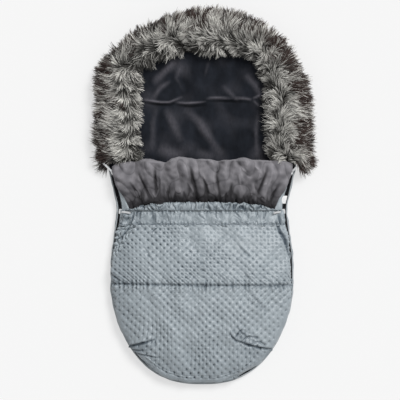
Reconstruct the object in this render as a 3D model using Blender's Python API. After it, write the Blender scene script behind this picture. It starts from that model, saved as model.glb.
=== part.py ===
"""Winter footmuff for a pushchair, lying on its back with the head end toward +Y.

Metres, +Z up. The origin is on the floor under the middle of the whole outline.
Every soft layer is a shell between two nested surfaces, so that an inset in from the edge
and the same inset down from the crown keep the layers clear of each other.
"""

import math

import bmesh
import bpy
from mathutils import Vector

# Plan outline of the padded back
BODY_HALF = 0.243
WAIST_HALF = 0.225
HOOD_HALF = 0.255
FOOT_END_Y = -0.501
QUILT_SEAM_Y = -0.235
BULGE_Y = -0.165
WAIST_Y = -0.033
SHOULDER_Y = 0.098
HOOD_SEAM_Y = 0.258
HOOD_TOP_Y = 0.470
FOOT_SIDE_POWER = 2.3
FOOT_END_POWER = 1.75
HOOD_POWER = 2.1

# Cloth, wadding and running gaps
CLOTH = 0.0012
BACK_PADDING = 0.0120
COVER_PADDING = 0.0090
GAP = 0.0003
HINGE_GAP = 0.0002

# The back's turned-up edge: insets and heights of the shell's outer face, and the pad's soft edge
TURN_INSET = 0.0120
HEEL_INSET = 0.0050
LOW_SIDE_INSET = 0.0018
LOW_SIDE_Z = 0.0050
HIGH_SIDE_INSET = 0.0008
HIGH_SIDE_Z = 0.0100
TOP_INSET = 0.0010
PAD_EDGE_DROP = 0.0024
PAD_SHOULDER = 0.0035
PAD_FLAT = 0.0130

# Edge of the back: piping, then the two halves of the zip, by inset from the outline
PIPING_INSET = 0.0022
PIPING_RADIUS = 0.0015
TAPE_CLOTH = 0.0008
TAPE_WIDTH = 0.0092
COIL_RADIUS = 0.0013
BACK_COIL_INSET = 0.0069
COVER_COIL_INSET = 0.0113
SLIDER_LENGTH = 0.0130
SLIDER_WIDTH = 0.0092
SLIDER_PLATE = 0.0012
SLIDER_WALL = 0.0010
SLIDER_PLAY = 0.0004
SLIDER_PLAN = ((-0.5, 0.78), (-0.1, 1.0), (0.32, 1.0), (0.5, 0.62))

# Cover: heights of the outer cloth over its rim
CROWN_HEIGHT = 0.0640
WAIST_HEIGHT = 0.0360
MOUTH_HEIGHT = 0.0460
DOME_POWER = 0.55
BAND_START_Y = -0.077
TUNNEL_WIDTH = 0.0192
TUNNEL_HEIGHT = 0.0080
TUNNEL_REACH = math.radians(75)
ELASTIC_WIDTH = 0.0120
ELASTIC_THICKNESS = 0.0016

# Collar
COLLAR_SEAM_Y = -0.017
MOUTH_Y = 0.096
MOUTH_DROP = 0.022
MOUTH_POWER = 3
STRIP_AT_SEAM = 0.019
STRIP_AT_MOUTH = 0.004
ZIP_TOP_Y = 0.0715
STOP_LENGTH = 0.003
TAG_LENGTH = 0.018
TAG_START_Y = -0.015
TAG_INSET = 0.0010

# Fur trim
FUR_OUTER_HALF = 0.289
FUR_OUTER_TOP_Y = 0.501
FUR_OUTER_POWER = 2.05
FUR_INNER_HALF = 0.167
FUR_INNER_TOP_Y = 0.375
FUR_INNER_POWER = 4
FUR_HEIGHT = 0.040
FUR_END_Y = 0.102
FUR_END_ROUND = 0.030
FUR_FLARE = 0.008
TRIM_BACKING = 0.0013
TRIM_MARGIN_OUTER = 0.038
TRIM_MARGIN_INNER = 0.008
FUR_END_FULLNESS = 0.35
FUR_END_REACH = 0.6
HOOD_FOLD = math.radians(50)
HOOD_AXIS_Z = 0.024

# Pullers
BRIDGE_WIRE = 0.00055
BRIDGE_SPAN = 0.0034
BRIDGE_RISE = 0.0020
PULLER_LENGTH = 0.0380
PULLER_WIDTH = 0.0050
PULLER_THICKNESS = 0.0012
PULLER_EYE = 0.0015
PULLER_HOLE = 0.0011
EYE_LENGTH = 0.0044
EYE_PLAY = 0.0003
PULLER_NECK = 0.7
LOWER_SLIDER_Y = -0.041
UPPER_SLIDER_Y = 0.063
LOWER_TILT = math.radians(41)
UPPER_TILT = math.radians(8)
UPPER_SWIVEL = math.radians(45)

# Facets
ACROSS_STEPS = 16
FOOT_STEPS = 9
HOOD_STEPS = 10
COLLAR_STEPS = 6
COLLAR_MIDDLE_STEPS = 12
FUR_SECTION_STEPS = 8
ROUND_SIDES = 6
WIRE_SIDES = 8
EYE_SIDES = 16
TUNNEL_SIDES = 10
ELASTIC_SIDES = 8
PROBE = 0.001

# Heights that follow from the layers and the zip
BACK_TOP_Z = 2 * CLOTH + 2 * GAP + BACK_PADDING
PIPING_Z = BACK_TOP_Z + GAP + PIPING_RADIUS
PARTING_Z = PIPING_Z + PIPING_RADIUS + GAP
BACK_COIL_Z = PARTING_Z - GAP - COIL_RADIUS
COVER_COIL_Z = PARTING_Z + COIL_RADIUS + GAP / 2
RIM_Z = COVER_COIL_Z + TAPE_CLOTH / 2 + GAP
SLIDER_HALF_HEIGHT = COIL_RADIUS + SLIDER_PLAY + SLIDER_PLATE
BRIDGE_HEIGHT = SLIDER_HALF_HEIGHT + BRIDGE_RISE
SLIDER_INSET = (BACK_COIL_INSET + COVER_COIL_INSET) / 2 + GAP
RIM_INSET = SLIDER_INSET + SLIDER_WIDTH / 2 + 2 * SLIDER_PLAY

# Insets of the cover's layers from its rim: each layer is (outer face, inner face)
OUTER_LAYER = (0.0, CLOTH)
WADDING_LAYER = (CLOTH + GAP, CLOTH + GAP + COVER_PADDING)
LINING_LAYER = (WADDING_LAYER[1] + GAP, WADDING_LAYER[1] + GAP + CLOTH)

# Joint axes
FOOT_AXIS = Vector((0, FOOT_END_Y + COVER_COIL_INSET - COIL_RADIUS - GAP, PARTING_Z))
BODY_AXIS = Vector((0, QUILT_SEAM_Y, RIM_Z + CROWN_HEIGHT + GAP))
COLLAR_AXIS = Vector((0, COLLAR_SEAM_Y, RIM_Z + WAIST_HEIGHT + TUNNEL_HEIGHT + GAP))
HOOD_AXIS = Vector((0, HOOD_SEAM_Y, HOOD_AXIS_Z))

SATIN = ((0.34, 0.38, 0.41, 1), 0.45, 0.0)
DARK_VELOUR = ((0.018, 0.021, 0.028, 1), 0.95, 0.0)
GREY_VELOUR = ((0.12, 0.12, 0.13, 1), 0.9, 0.0)
WADDING = ((0.80, 0.80, 0.78, 1), 1.0, 0.0)
LINING = ((0.10, 0.10, 0.11, 1), 0.9, 0.0)
PIPING = ((0.45, 0.49, 0.52, 1), 0.5, 0.0)
ZIP_TAPE = ((0.012, 0.012, 0.014, 1), 0.8, 0.0)
ZIP_COIL = ((0.010, 0.010, 0.012, 1), 0.35, 0.0)
ELASTIC = ((0.70, 0.70, 0.68, 1), 0.8, 0.0)
FUR = ((0.17, 0.165, 0.15, 1), 0.8, 0.0)
TRIM_CLOTH = ((0.10, 0.095, 0.09, 1), 0.9, 0.0)
METAL = ((0.75, 0.76, 0.78, 1), 0.25, 1.0)
TAG = ((0.85, 0.85, 0.85, 1), 0.6, 0.0)

RIGHT, LEFT = 1, -1
SIDES = (("right", RIGHT), ("left", LEFT))


def clear_scene():
    """Remove what a new scene starts with."""
    for obj in list(bpy.data.objects):
        bpy.data.objects.remove(obj, do_unlink=True)


def material(name, finish):
    """A plain material of one colour, roughness and metallic value."""
    colour, roughness, metallic = finish
    made = bpy.data.materials.new(name)
    made.use_nodes = True
    shader = made.node_tree.nodes["Principled BSDF"]
    shader.inputs["Base Color"].default_value = colour
    shader.inputs["Roughness"].default_value = roughness
    shader.inputs["Metallic"].default_value = metallic
    made.diffuse_color = colour
    return made


def finish_mesh(name, bm, finish, parent=None, sharp_angle=math.radians(40)):
    """Close a bmesh into a named object with its own material, under its pivot."""
    bmesh.ops.remove_doubles(bm, verts=bm.verts, dist=1e-7)
    bmesh.ops.recalc_face_normals(bm, faces=bm.faces)
    mesh = bpy.data.meshes.new(name)
    bm.to_mesh(mesh)
    bm.free()
    mesh.shade_smooth()
    mesh.set_sharp_from_angle(angle=sharp_angle)
    obj = bpy.data.objects.new(name, mesh)
    bpy.context.scene.collection.objects.link(obj)
    mesh.materials.append(material(name, finish))
    if parent:
        obj.parent = parent
        obj.matrix_parent_inverse = parent.matrix_world.inverted()
    return obj


def pivot(name, place, parent=None):
    """An empty on a joint's axis."""
    empty = bpy.data.objects.new(name, None)
    empty.empty_display_size = 0.03
    bpy.context.scene.collection.objects.link(empty)
    empty.location = place
    if parent:
        empty.parent = parent
        bpy.context.view_layer.update()
        empty.matrix_parent_inverse = parent.matrix_world.inverted()
    bpy.context.view_layer.update()
    return empty


def between(start, end, share):
    return start + (end - start) * share


def ease(share):
    """Smooth step from 0 to 1."""
    share = min(max(share, 0.0), 1.0)
    return share * share * (3 - 2 * share)


def powered(value, power):
    """A power of a length that rounding may have left just below zero."""
    return max(value, 0.0) ** power


def half_width(y):
    """Half-width of the back's outline along its nearly straight sides."""
    if y >= SHOULDER_Y:
        return HOOD_HALF
    if y >= WAIST_Y:
        return between(WAIST_HALF, HOOD_HALF, (y - WAIST_Y) / (SHOULDER_Y - WAIST_Y))
    if y >= BULGE_Y:
        return between(WAIST_HALF, BODY_HALF, (WAIST_Y - y) / (WAIST_Y - BULGE_Y))
    return BODY_HALF


def foot_point(angle, inset):
    """A point on the rounded foot, from its side (0) to its end (a right angle)."""
    x = (BODY_HALF - inset) * powered(math.cos(angle), 2 / FOOT_SIDE_POWER)
    length = QUILT_SEAM_Y - FOOT_END_Y - inset
    return x, QUILT_SEAM_Y - length * math.sin(angle) ** (2 / FOOT_END_POWER)


def hood_point(angle, inset):
    """A point on the hood's arch, from its side (0) to its top (a right angle)."""
    x = (HOOD_HALF - inset) * powered(math.cos(angle), 2 / HOOD_POWER)
    length = HOOD_TOP_Y - HOOD_SEAM_Y - inset
    return x, HOOD_SEAM_Y + length * math.sin(angle) ** (2 / HOOD_POWER)


def quarter_angles(steps):
    return [math.pi / 2 * step / steps for step in range(steps + 1)]


def side_rows(start, end):
    """Y values from start down to end, with the outline's own corners between them."""
    corners = (SHOULDER_Y, WAIST_Y, BULGE_Y)
    return [start] + [y for y in corners if end < y < start] + [end]


def side_path(inset, start, end, side):
    return [(side * (half_width(y) - inset), y) for y in side_rows(start, end)]


def mirrored(right):
    """A path down the right side and round to the left, its last point on the middle line."""
    return right + [(-x, y) for x, y in reversed(right[:-1])]


def foot_path(inset, start=QUILT_SEAM_Y - HINGE_GAP):
    right = [(BODY_HALF - inset, start)]
    right += [foot_point(angle, inset) for angle in quarter_angles(FOOT_STEPS)[1:]]
    return mirrored(right)


def sack_path(inset, start):
    """The whole outline of the back below a place on its side."""
    right = side_path(inset, start, QUILT_SEAM_Y, RIGHT)
    right += [foot_point(angle, inset) for angle in quarter_angles(FOOT_STEPS)[1:]]
    return mirrored(right)


def hood_path(inset):
    right = [(HOOD_HALF - inset, HOOD_SEAM_Y + HINGE_GAP)]
    right += [hood_point(angle, inset) for angle in quarter_angles(HOOD_STEPS)[1:]]
    return mirrored(right)


def add_triangles(bm, a, b, c, d):
    """A four-sided patch, always cut on the same diagonal, so nested layers stay parallel."""
    for corners in ((a, b, c), (a, c, d)):
        if len(set(corners)) == 3:
            bm.faces.new(corners)


def swept_strip(name, profile, path, finish, parent=None):
    """A closed strip: each corner of the profile is an inset and a height along a path."""
    bm = bmesh.new()
    runs = [[bm.verts.new((x, y, z)) for x, y in path(inset)] for inset, z in profile]
    for here, there in zip(runs, runs[1:] + runs[:1]):
        for step in range(len(here) - 1):
            add_triangles(bm, here[step], here[step + 1], there[step + 1], there[step])
    bm.faces.new([run[0] for run in runs])
    bm.faces.new([run[-1] for run in runs])
    return finish_mesh(name, bm, finish, parent)


def turned_slab(name, rings, path, finish, parent=None):
    """A flat or dished sheet with a turned edge, cut off straight at the hood seam.

    Its rings of (inset, height) run from the middle of one face round the edge to the other.
    """
    bm = bmesh.new()
    runs = [[bm.verts.new((x, y, z)) for x, y in path(inset)] for inset, z in rings]
    for here, there in zip(runs, runs[1:]):
        for step in range(len(here) - 1):
            add_triangles(bm, here[step], here[step + 1], there[step + 1], there[step])
    bm.faces.new(runs[0])
    bm.faces.new(runs[-1])
    bm.faces.new([run[0] for run in runs] + [run[-1] for run in reversed(runs)])
    return finish_mesh(name, bm, finish, parent)


def layer(name, point, rows, columns, insets, finish, parent=None):
    """A layer of the cover: point(row, column, inset) gives its outer and inner faces."""
    bm = bmesh.new()
    outer, inner = (
        [[bm.verts.new(point(row, column, inset)) for column in columns] for row in rows]
        for inset in insets
    )
    for grid in (outer, inner):
        for near, far in zip(grid, grid[1:]):
            for k in range(len(columns) - 1):
                add_triangles(bm, near[k], near[k + 1], far[k + 1], far[k])
    for k in range(len(columns) - 1):
        for end in (0, -1):
            add_triangles(bm, outer[end][k], outer[end][k + 1], inner[end][k + 1], inner[end][k])
    for k in range(len(rows) - 1):
        for end in (0, -1):
            add_triangles(bm, outer[k][end], outer[k + 1][end], inner[k + 1][end], inner[k][end])
    return finish_mesh(name, bm, finish, parent)


def round_profile(inset, z, radius, sides=ROUND_SIDES):
    turns = [2 * math.pi * (k + 0.5) / sides for k in range(sides)]
    return [(inset + radius * math.cos(t), z + radius * math.sin(t)) for t in turns]


def flat_profile(start, end, z, thickness=TAPE_CLOTH):
    low, high = z - thickness / 2, z + thickness / 2
    return [(start, low), (end, low), (end, high), (start, high)]


# Section of the back's shell: its outer face from below up to the edge, then its inner face
SHELL_RINGS = (
    (TURN_INSET, 0.0),
    (HEEL_INSET, CLOTH),
    (LOW_SIDE_INSET, LOW_SIDE_Z),
    (HIGH_SIDE_INSET, HIGH_SIDE_Z),
    (TOP_INSET, BACK_TOP_Z),
    (TOP_INSET + CLOTH, BACK_TOP_Z),
    (HIGH_SIDE_INSET + CLOTH, HIGH_SIDE_Z),
    (LOW_SIDE_INSET + CLOTH, LOW_SIDE_Z + CLOTH / 2),
    (HEEL_INSET + CLOTH, 2 * CLOTH),
    (TURN_INSET + CLOTH, CLOTH),
)

# Section of the wadding and, lying on it, the lining
PAD_BASE_Z = CLOTH + GAP
PAD_TOP_Z = PAD_BASE_Z + BACK_PADDING
PAD_EDGE_INSET = TOP_INSET + CLOTH + GAP
PAD_TOP_RINGS = (
    (PAD_EDGE_INSET, PAD_TOP_Z - PAD_EDGE_DROP),
    (PAD_EDGE_INSET + PAD_SHOULDER, PAD_TOP_Z - PAD_EDGE_DROP / 3),
    (PAD_EDGE_INSET + PAD_FLAT, PAD_TOP_Z),
)
WADDING_RINGS = (
    (TURN_INSET + CLOTH + GAP, PAD_BASE_Z),
    (HEEL_INSET + CLOTH + 3 * GAP, 2 * CLOTH + 2 * GAP),
    (LOW_SIDE_INSET + CLOTH + 3 * GAP, LOW_SIDE_Z + CLOTH),
    (PAD_EDGE_INSET, HIGH_SIDE_Z),
) + PAD_TOP_RINGS
LINING_RINGS = tuple((inset, z + GAP) for inset, z in reversed(PAD_TOP_RINGS))
LINING_RINGS += tuple((inset, z + GAP + CLOTH) for inset, z in PAD_TOP_RINGS)


def back_path(inset):
    return sack_path(inset, HOOD_SEAM_Y - HINGE_GAP)


def piped_path(inset):
    return sack_path(inset, SHOULDER_Y)


def zipped_path(inset):
    return sack_path(inset, ZIP_TOP_Y + STOP_LENGTH)


def build_back():
    """The padded back, with the outer half of the zip round its edge."""
    turned_slab("back_outer_shell", SHELL_RINGS, back_path, SATIN)
    turned_slab("back_wadding", WADDING_RINGS, back_path, WADDING)
    turned_slab("back_lining", LINING_RINGS, back_path, DARK_VELOUR)
    piping = round_profile(PIPING_INSET, PIPING_Z, PIPING_RADIUS)
    swept_strip("edge_piping", piping, piped_path, PIPING)
    tape_start = PIPING_INSET + PIPING_RADIUS + GAP
    tape_end = BACK_COIL_INSET - COIL_RADIUS - GAP
    tape = flat_profile(tape_start, tape_end, BACK_COIL_Z)
    swept_strip("back_zip_tape", tape, zipped_path, ZIP_TAPE)
    coil = round_profile(BACK_COIL_INSET, BACK_COIL_Z, COIL_RADIUS)
    swept_strip("back_zip_coil", coil, zipped_path, ZIP_COIL)


def build_hood(hood):
    turned_slab("hood_outer_shell", SHELL_RINGS, hood_path, SATIN, hood)
    turned_slab("hood_wadding", WADDING_RINGS, hood_path, WADDING, hood)
    turned_slab("hood_lining", LINING_RINGS, hood_path, DARK_VELOUR, hood)


def fur_edges(angle):
    """Outer and inner edge of the fur on the arch, at the same turn."""
    edges = []
    for half, top, power in (
        (FUR_OUTER_HALF, FUR_OUTER_TOP_Y, FUR_OUTER_POWER),
        (FUR_INNER_HALF, FUR_INNER_TOP_Y, FUR_INNER_POWER),
    ):
        x = half * powered(math.cos(angle), 2 / power)
        edges.append((x, HOOD_SEAM_Y + (top - HOOD_SEAM_Y) * math.sin(angle) ** (2 / power)))
    return edges


def fur_fold_room(z):
    """How far each fur end leans back from the hood seam, so that the two clear in a fold."""
    return HINGE_GAP + max(0.0, z - HOOD_AXIS_Z) * math.tan(HOOD_FOLD / 2)


def fur_section(outer, inner, height):
    """Half-round section of the pile between its two edges, its flat face on the backing."""
    base = BACK_TOP_Z + TRIM_BACKING + 2 * GAP
    section = []
    for step in range(FUR_SECTION_STEPS + 1):
        turn = math.pi * step / FUR_SECTION_STEPS
        share = (1 - math.cos(turn)) / 2
        x = between(outer[0], inner[0], share)
        y = between(outer[1], inner[1], share)
        section.append([x, y, base + height * math.sin(turn)])
    return section


def fur_solid(name, sections, parent=None):
    bm = bmesh.new()
    runs = [[bm.verts.new(corner) for corner in section] for section in sections]
    for here, there in zip(runs, runs[1:]):
        for k in range(-1, len(here) - 1):
            add_triangles(bm, here[k], here[k + 1], there[k + 1], there[k])
    bm.faces.new(runs[0])
    bm.faces.new(runs[-1])
    return finish_mesh(name, bm, FUR, parent)


def side_fur_sections(side):
    """From the rounded lower end up to the hood seam."""
    seam = HOOD_SEAM_Y
    sections = []
    for share in (0.0, 0.25, 0.6, 1.0):
        round_off = math.sqrt(1 - (1 - share) ** 2)
        sections.append((FUR_END_Y + FUR_END_ROUND * share, max(round_off, FUR_END_FULLNESS)))
    sections += [(between(FUR_END_Y + FUR_END_ROUND, seam, k / 3), 1.0) for k in (1, 2, 3)]
    made = []
    for y, fullness in sections:
        flare = FUR_FLARE * ease((seam - y) / (seam - FUR_END_Y))
        middle = (FUR_OUTER_HALF + FUR_INNER_HALF + flare) / 2
        reach = (FUR_OUTER_HALF - FUR_INNER_HALF + flare) / 2 * between(FUR_END_REACH, 1.0, fullness)
        section = fur_section((middle + reach, y), (middle - reach, y), FUR_HEIGHT * fullness)
        if y == seam:
            for corner in section:
                corner[1] -= fur_fold_room(corner[2])
        made.append([(side * x, place, z) for x, place, z in section])
    return made


def hood_fur_sections():
    right = []
    for angle in quarter_angles(HOOD_STEPS):
        section = fur_section(*fur_edges(angle), FUR_HEIGHT)
        if angle == 0:
            for corner in section:
                corner[1] += fur_fold_room(corner[2])
        right.append(section)
    left = [[(-x, y, z) for x, y, z in section] for section in reversed(right[:-1])]
    return right + left


def hood_backing_path(inset):
    """The backing follows the fur: its inset is a share of the way between the fur's edges."""
    right = []
    share = inset / (FUR_OUTER_HALF - FUR_INNER_HALF)
    for angle in quarter_angles(HOOD_STEPS):
        outer, inner = fur_edges(angle)
        right.append(tuple(between(outer[k], inner[k], share) for k in (0, 1)))
    right[0] = (right[0][0], HOOD_SEAM_Y + HINGE_GAP)
    return mirrored(right)


def build_fur(hood):
    """Fur trim on its backing strips, parted at the hood seam."""
    backing_z = BACK_TOP_Z + GAP + TRIM_BACKING / 2
    inner_edge = FUR_OUTER_HALF - FUR_INNER_HALF - TRIM_MARGIN_INNER
    backing = flat_profile(TRIM_MARGIN_OUTER, inner_edge, backing_z, TRIM_BACKING)
    start, end = HOOD_SEAM_Y - HINGE_GAP, FUR_END_Y + FUR_END_ROUND / 2
    for word, side in SIDES:
        fur_solid(f"fur_trim_{word}", side_fur_sections(side))
        swept_strip(
            f"trim_backing_{word}",
            backing,
            lambda inset, side=side: [(side * (FUR_OUTER_HALF - inset), y) for y in (start, end)],
            TRIM_CLOTH,
        )
    fur_solid("fur_trim_hood", hood_fur_sections(), hood)
    swept_strip("trim_backing_hood", backing, hood_backing_path, TRIM_CLOTH, hood)


def crown(y):
    """Height of the cover's outer cloth over its rim, along the middle."""
    if y < WAIST_Y:
        return between(WAIST_HEIGHT, CROWN_HEIGHT, ease((WAIST_Y - y) / (WAIST_Y - QUILT_SEAM_Y)))
    return between(WAIST_HEIGHT, MOUTH_HEIGHT, ease((y - COLLAR_SEAM_Y) / (MOUTH_Y - COLLAR_SEAM_Y)))


def arch(across):
    """Height of the cover's section as a share of its crown; across runs from -1 to 1."""
    return powered(1 - abs(across) ** FOOT_SIDE_POWER, DOME_POWER)


def cover_point(y, across, inset):
    half = half_width(y) - RIM_INSET - inset
    return Vector((across * half, y, RIM_Z + (crown(y) - inset) * arch(across)))


def foot_cover_point(angle, across, inset):
    half, y = foot_point(angle, RIM_INSET + inset)
    fall = powered(math.cos(angle), 2 * DOME_POWER)
    if angle == 0:
        y -= HINGE_GAP
    return Vector((across * half, y, RIM_Z + (CROWN_HEIGHT - inset) * fall * arch(across)))


def across_steps():
    """Columns across the cover, closer together where its sides turn down."""
    return [math.sin(math.pi * (k / ACROSS_STEPS - 0.5)) for k in range(ACROSS_STEPS + 1)]


def build_foot_cover(foot):
    """The foot section, below the quilt seam, with its zip running round the foot."""
    rows = quarter_angles(FOOT_STEPS)
    columns = across_steps()
    for name, insets, finish in (
        ("foot_cover_outer", OUTER_LAYER, SATIN),
        ("foot_cover_wadding", WADDING_LAYER, WADDING),
        ("foot_cover_lining", LINING_LAYER, LINING),
    ):
        layer(name, foot_cover_point, rows, columns, insets, finish, foot)
    cover_zip("foot", "", foot_path, foot)


def cover_zip(section, word, path, parent):
    """The inner half of the zip: its coil, and its tape in under the cover's rim."""
    coil = round_profile(COVER_COIL_INSET, COVER_COIL_Z, COIL_RADIUS)
    swept_strip(f"{section}_zip_coil{word}", coil, path, ZIP_COIL, parent)
    start = COVER_COIL_INSET + COIL_RADIUS + GAP
    tape = flat_profile(start, start + TAPE_WIDTH, COVER_COIL_Z)
    swept_strip(f"{section}_zip_tape{word}", tape, path, ZIP_TAPE, parent)


def spaced(start, end, steps):
    return [between(start, end, k / steps) for k in range(steps + 1)]


BODY_ROWS = spaced(QUILT_SEAM_Y + HINGE_GAP, BULGE_Y, 2) + spaced(BULGE_Y, BAND_START_Y, 3)[1:]
BAND_ROWS = spaced(BAND_START_Y + GAP, WAIST_Y - TUNNEL_WIDTH / 4, 2)
LINING_ROWS = BODY_ROWS + BAND_ROWS[1:] + [WAIST_Y, COLLAR_SEAM_Y - HINGE_GAP]


def tunnel_section(half_wide, half_high, middle, sides=TUNNEL_SIDES):
    """Oval section across the tunnel: places along Y and heights over the wadding."""
    low_y = BAND_ROWS[-1] + GAP
    centre_y = (low_y + COLLAR_SEAM_Y - HINGE_GAP) / 2
    turns = [2 * math.pi * k / sides for k in range(sides)]
    return [(centre_y + half_wide * math.cos(t), middle + half_high * math.sin(t)) for t in turns]


def tunnel_point(y, turn, height):
    """A point over the wadding's outer face, square to it in the plane of one Y."""
    here = cover_point(y, math.sin(turn), CLOTH)
    before, after = (cover_point(y, math.sin(turn + sign * PROBE), CLOTH) for sign in (-1, 1))
    along = after - before
    outward = Vector((-along.z, 0, along.x)).normalized()
    return here + outward * height


def tunnel_runs(section):
    turns = [TUNNEL_REACH * (2 * k / ACROSS_STEPS - 1) for k in range(ACROSS_STEPS + 1)]
    return [[tunnel_point(y, turn, height) for turn in turns] for y, height in section]


def tunnel_tube(name, sections, finish, parent):
    """A tube along the waist: one section makes it solid, two make it hollow and open-ended."""
    bm = bmesh.new()
    walls = [[[bm.verts.new(p) for p in run] for run in tunnel_runs(section)] for section in sections]
    for runs in walls:
        for here, there in zip(runs, runs[1:] + runs[:1]):
            for k in range(len(here) - 1):
                add_triangles(bm, here[k], here[k + 1], there[k + 1], there[k])
    for end in (0, -1):
        if len(walls) == 1:
            bm.faces.new([run[end] for run in walls[0]])
            continue
        outer, inner = walls
        for k in range(-1, len(outer) - 1):
            add_triangles(bm, outer[k][end], outer[k + 1][end], inner[k + 1][end], inner[k][end])
    return finish_mesh(name, bm, finish, parent)


def build_body_cover(body):
    """The quilted body section, its drawstring band and the gathered tunnel at the waist."""
    columns = across_steps()
    layer("body_cover_outer", cover_point, BODY_ROWS, columns, OUTER_LAYER, SATIN, body)
    layer("drawstring_band", cover_point, BAND_ROWS, columns, OUTER_LAYER, SATIN, body)
    layer("body_cover_wadding", cover_point, LINING_ROWS, columns, WADDING_LAYER, WADDING, body)
    layer("body_cover_lining", cover_point, LINING_ROWS, columns, LINING_LAYER, LINING, body)
    half_wide, half_high = TUNNEL_WIDTH / 2 - GAP, TUNNEL_HEIGHT / 2
    middle = half_high
    outer = tunnel_section(half_wide, half_high, middle)
    inner = tunnel_section(half_wide - CLOTH, half_high - CLOTH, middle)
    tunnel_tube("gathered_tunnel", (outer, inner), SATIN, body)
    seat = CLOTH + 2 * GAP + ELASTIC_THICKNESS / 2
    elastic = tunnel_section(ELASTIC_WIDTH / 2, ELASTIC_THICKNESS / 2, seat, ELASTIC_SIDES)
    tunnel_tube("waist_elastic", (elastic,), ELASTIC, body)
    start, end = COLLAR_SEAM_Y - HINGE_GAP, QUILT_SEAM_Y + HINGE_GAP
    for word, side in SIDES:
        cover_zip("body", f"_{word}", lambda inset, side=side: side_path(inset, start, end, side), body)


def collar_y(share, across):
    """Place along Y of a collar row; its top edge drops toward the sides."""
    start = COLLAR_SEAM_Y + HINGE_GAP
    mouth = MOUTH_Y - MOUTH_DROP * abs(across) ** MOUTH_POWER
    return between(start, mouth, share)


def velour_edge(share):
    """Where the velour meets the side strip, as a share of the half-width."""
    y = collar_y(share, 1)
    return 1 - between(STRIP_AT_SEAM, STRIP_AT_MOUTH, share) / (half_width(y) - RIM_INSET)


def collar_point(share, column, inset):
    """Columns run from -1 to 1 over the velour, and on to -2 and 2 over the side strips."""
    edge = velour_edge(share)
    size = min(abs(column), 1.0)
    across = edge * size + (1 - edge) * (abs(column) - size)
    across = math.copysign(across, column)
    return cover_point(collar_y(share, across), across, inset)


def build_collar(collar):
    """Padded velour collar with a plain strip beside each zip."""
    rows = [k / COLLAR_STEPS for k in range(COLLAR_STEPS + 1)]
    steps = COLLAR_MIDDLE_STEPS
    middle = [math.sin(math.pi * (k / steps - 0.5)) for k in range(steps + 1)]
    strip = [1.0, 1.5, 1.8, 2.0]
    whole = [-k for k in reversed(strip[1:])] + middle + strip[1:]
    layer("collar_velour_top", collar_point, rows, middle, OUTER_LAYER, GREY_VELOUR, collar)
    layer("collar_wadding", collar_point, rows, whole, WADDING_LAYER, WADDING, collar)
    layer("collar_velour_under", collar_point, rows, whole, LINING_LAYER, GREY_VELOUR, collar)
    seam_share = 1.0 + GAP / STRIP_AT_MOUTH
    start, end = ZIP_TOP_Y, COLLAR_SEAM_Y + HINGE_GAP
    for word, side in SIDES:
        columns = sorted(side * k for k in [seam_share] + strip[1:])
        layer(f"collar_side_strip_{word}", collar_point, rows, columns, OUTER_LAYER, SATIN, collar)
        cover_zip("collar", f"_{word}", lambda inset, side=side: side_path(inset, start, end, side), collar)
        build_stop(f"zip_top_stop_{word}", side, collar)
    build_tag(collar)


def build_stop(name, side, parent):
    """The small clip that ends the cover's coil at the top of the zip."""
    start = ZIP_TOP_Y + GAP
    inset = COVER_COIL_INSET - COIL_RADIUS
    block = flat_profile(inset, inset + 2.4 * COIL_RADIUS, COVER_COIL_Z, 2 * COIL_RADIUS)
    swept_strip(name, block, lambda d: side_path(d, start + STOP_LENGTH, start, side), METAL, parent)


def build_tag(parent):
    """The blank tag sewn into the seam beside the right zip, lying out over it."""
    z = COVER_COIL_Z + COIL_RADIUS + GAP + TAPE_CLOTH / 2
    tag = flat_profile(TAG_INSET, RIM_INSET - GAP, z)
    end = TAG_START_Y + TAG_LENGTH
    swept_strip("side_tag", tag, lambda inset: side_path(inset, end, TAG_START_Y, RIGHT), TAG, parent)


def zip_slant(y, side):
    """Angle of the zip from the Y axis: how far it leans outward as it goes down."""
    return math.atan((half_width(y - PROBE) - half_width(y)) / PROBE) * side


def slider_place(y, side):
    """The slider's origin, at the height of the cover's coil."""
    return Vector((side * (half_width(y) - SLIDER_INSET), y, COVER_COIL_Z))


def slider_mesh(side):
    """A slider as a bent plate round the cover's coil, narrower at the back, along local Y."""
    half = SLIDER_WIDTH / 2
    wall_out = SLIDER_INSET - BACK_COIL_INSET - COIL_RADIUS - SLIDER_PLAY
    wall_in = wall_out - SLIDER_WALL
    top, under_top = SLIDER_HALF_HEIGHT, SLIDER_HALF_HEIGHT - SLIDER_PLATE
    section = (
        (half, under_top),
        (half, top),
        (-half, top),
        (-half, under_top),
        (wall_in, under_top),
        (wall_in, -under_top),
        (-half, -under_top),
        (-half, -top),
        (wall_out, -top),
        (wall_out, under_top),
    )
    bm = bmesh.new()
    runs = []
    for along, width in SLIDER_PLAN:
        run = []
        for x, z in section:
            shaped = x * width if abs(x) == half else x
            run.append(bm.verts.new((side * shaped, along * SLIDER_LENGTH, z)))
        runs.append(run)
    for here, there in zip(runs, runs[1:]):
        for k in range(-1, len(section) - 1):
            bm.faces.new((here[k], here[k + 1], there[k + 1], there[k]))
    bm.faces.new(runs[0])
    bm.faces.new(runs[-1])
    return bm


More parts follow.
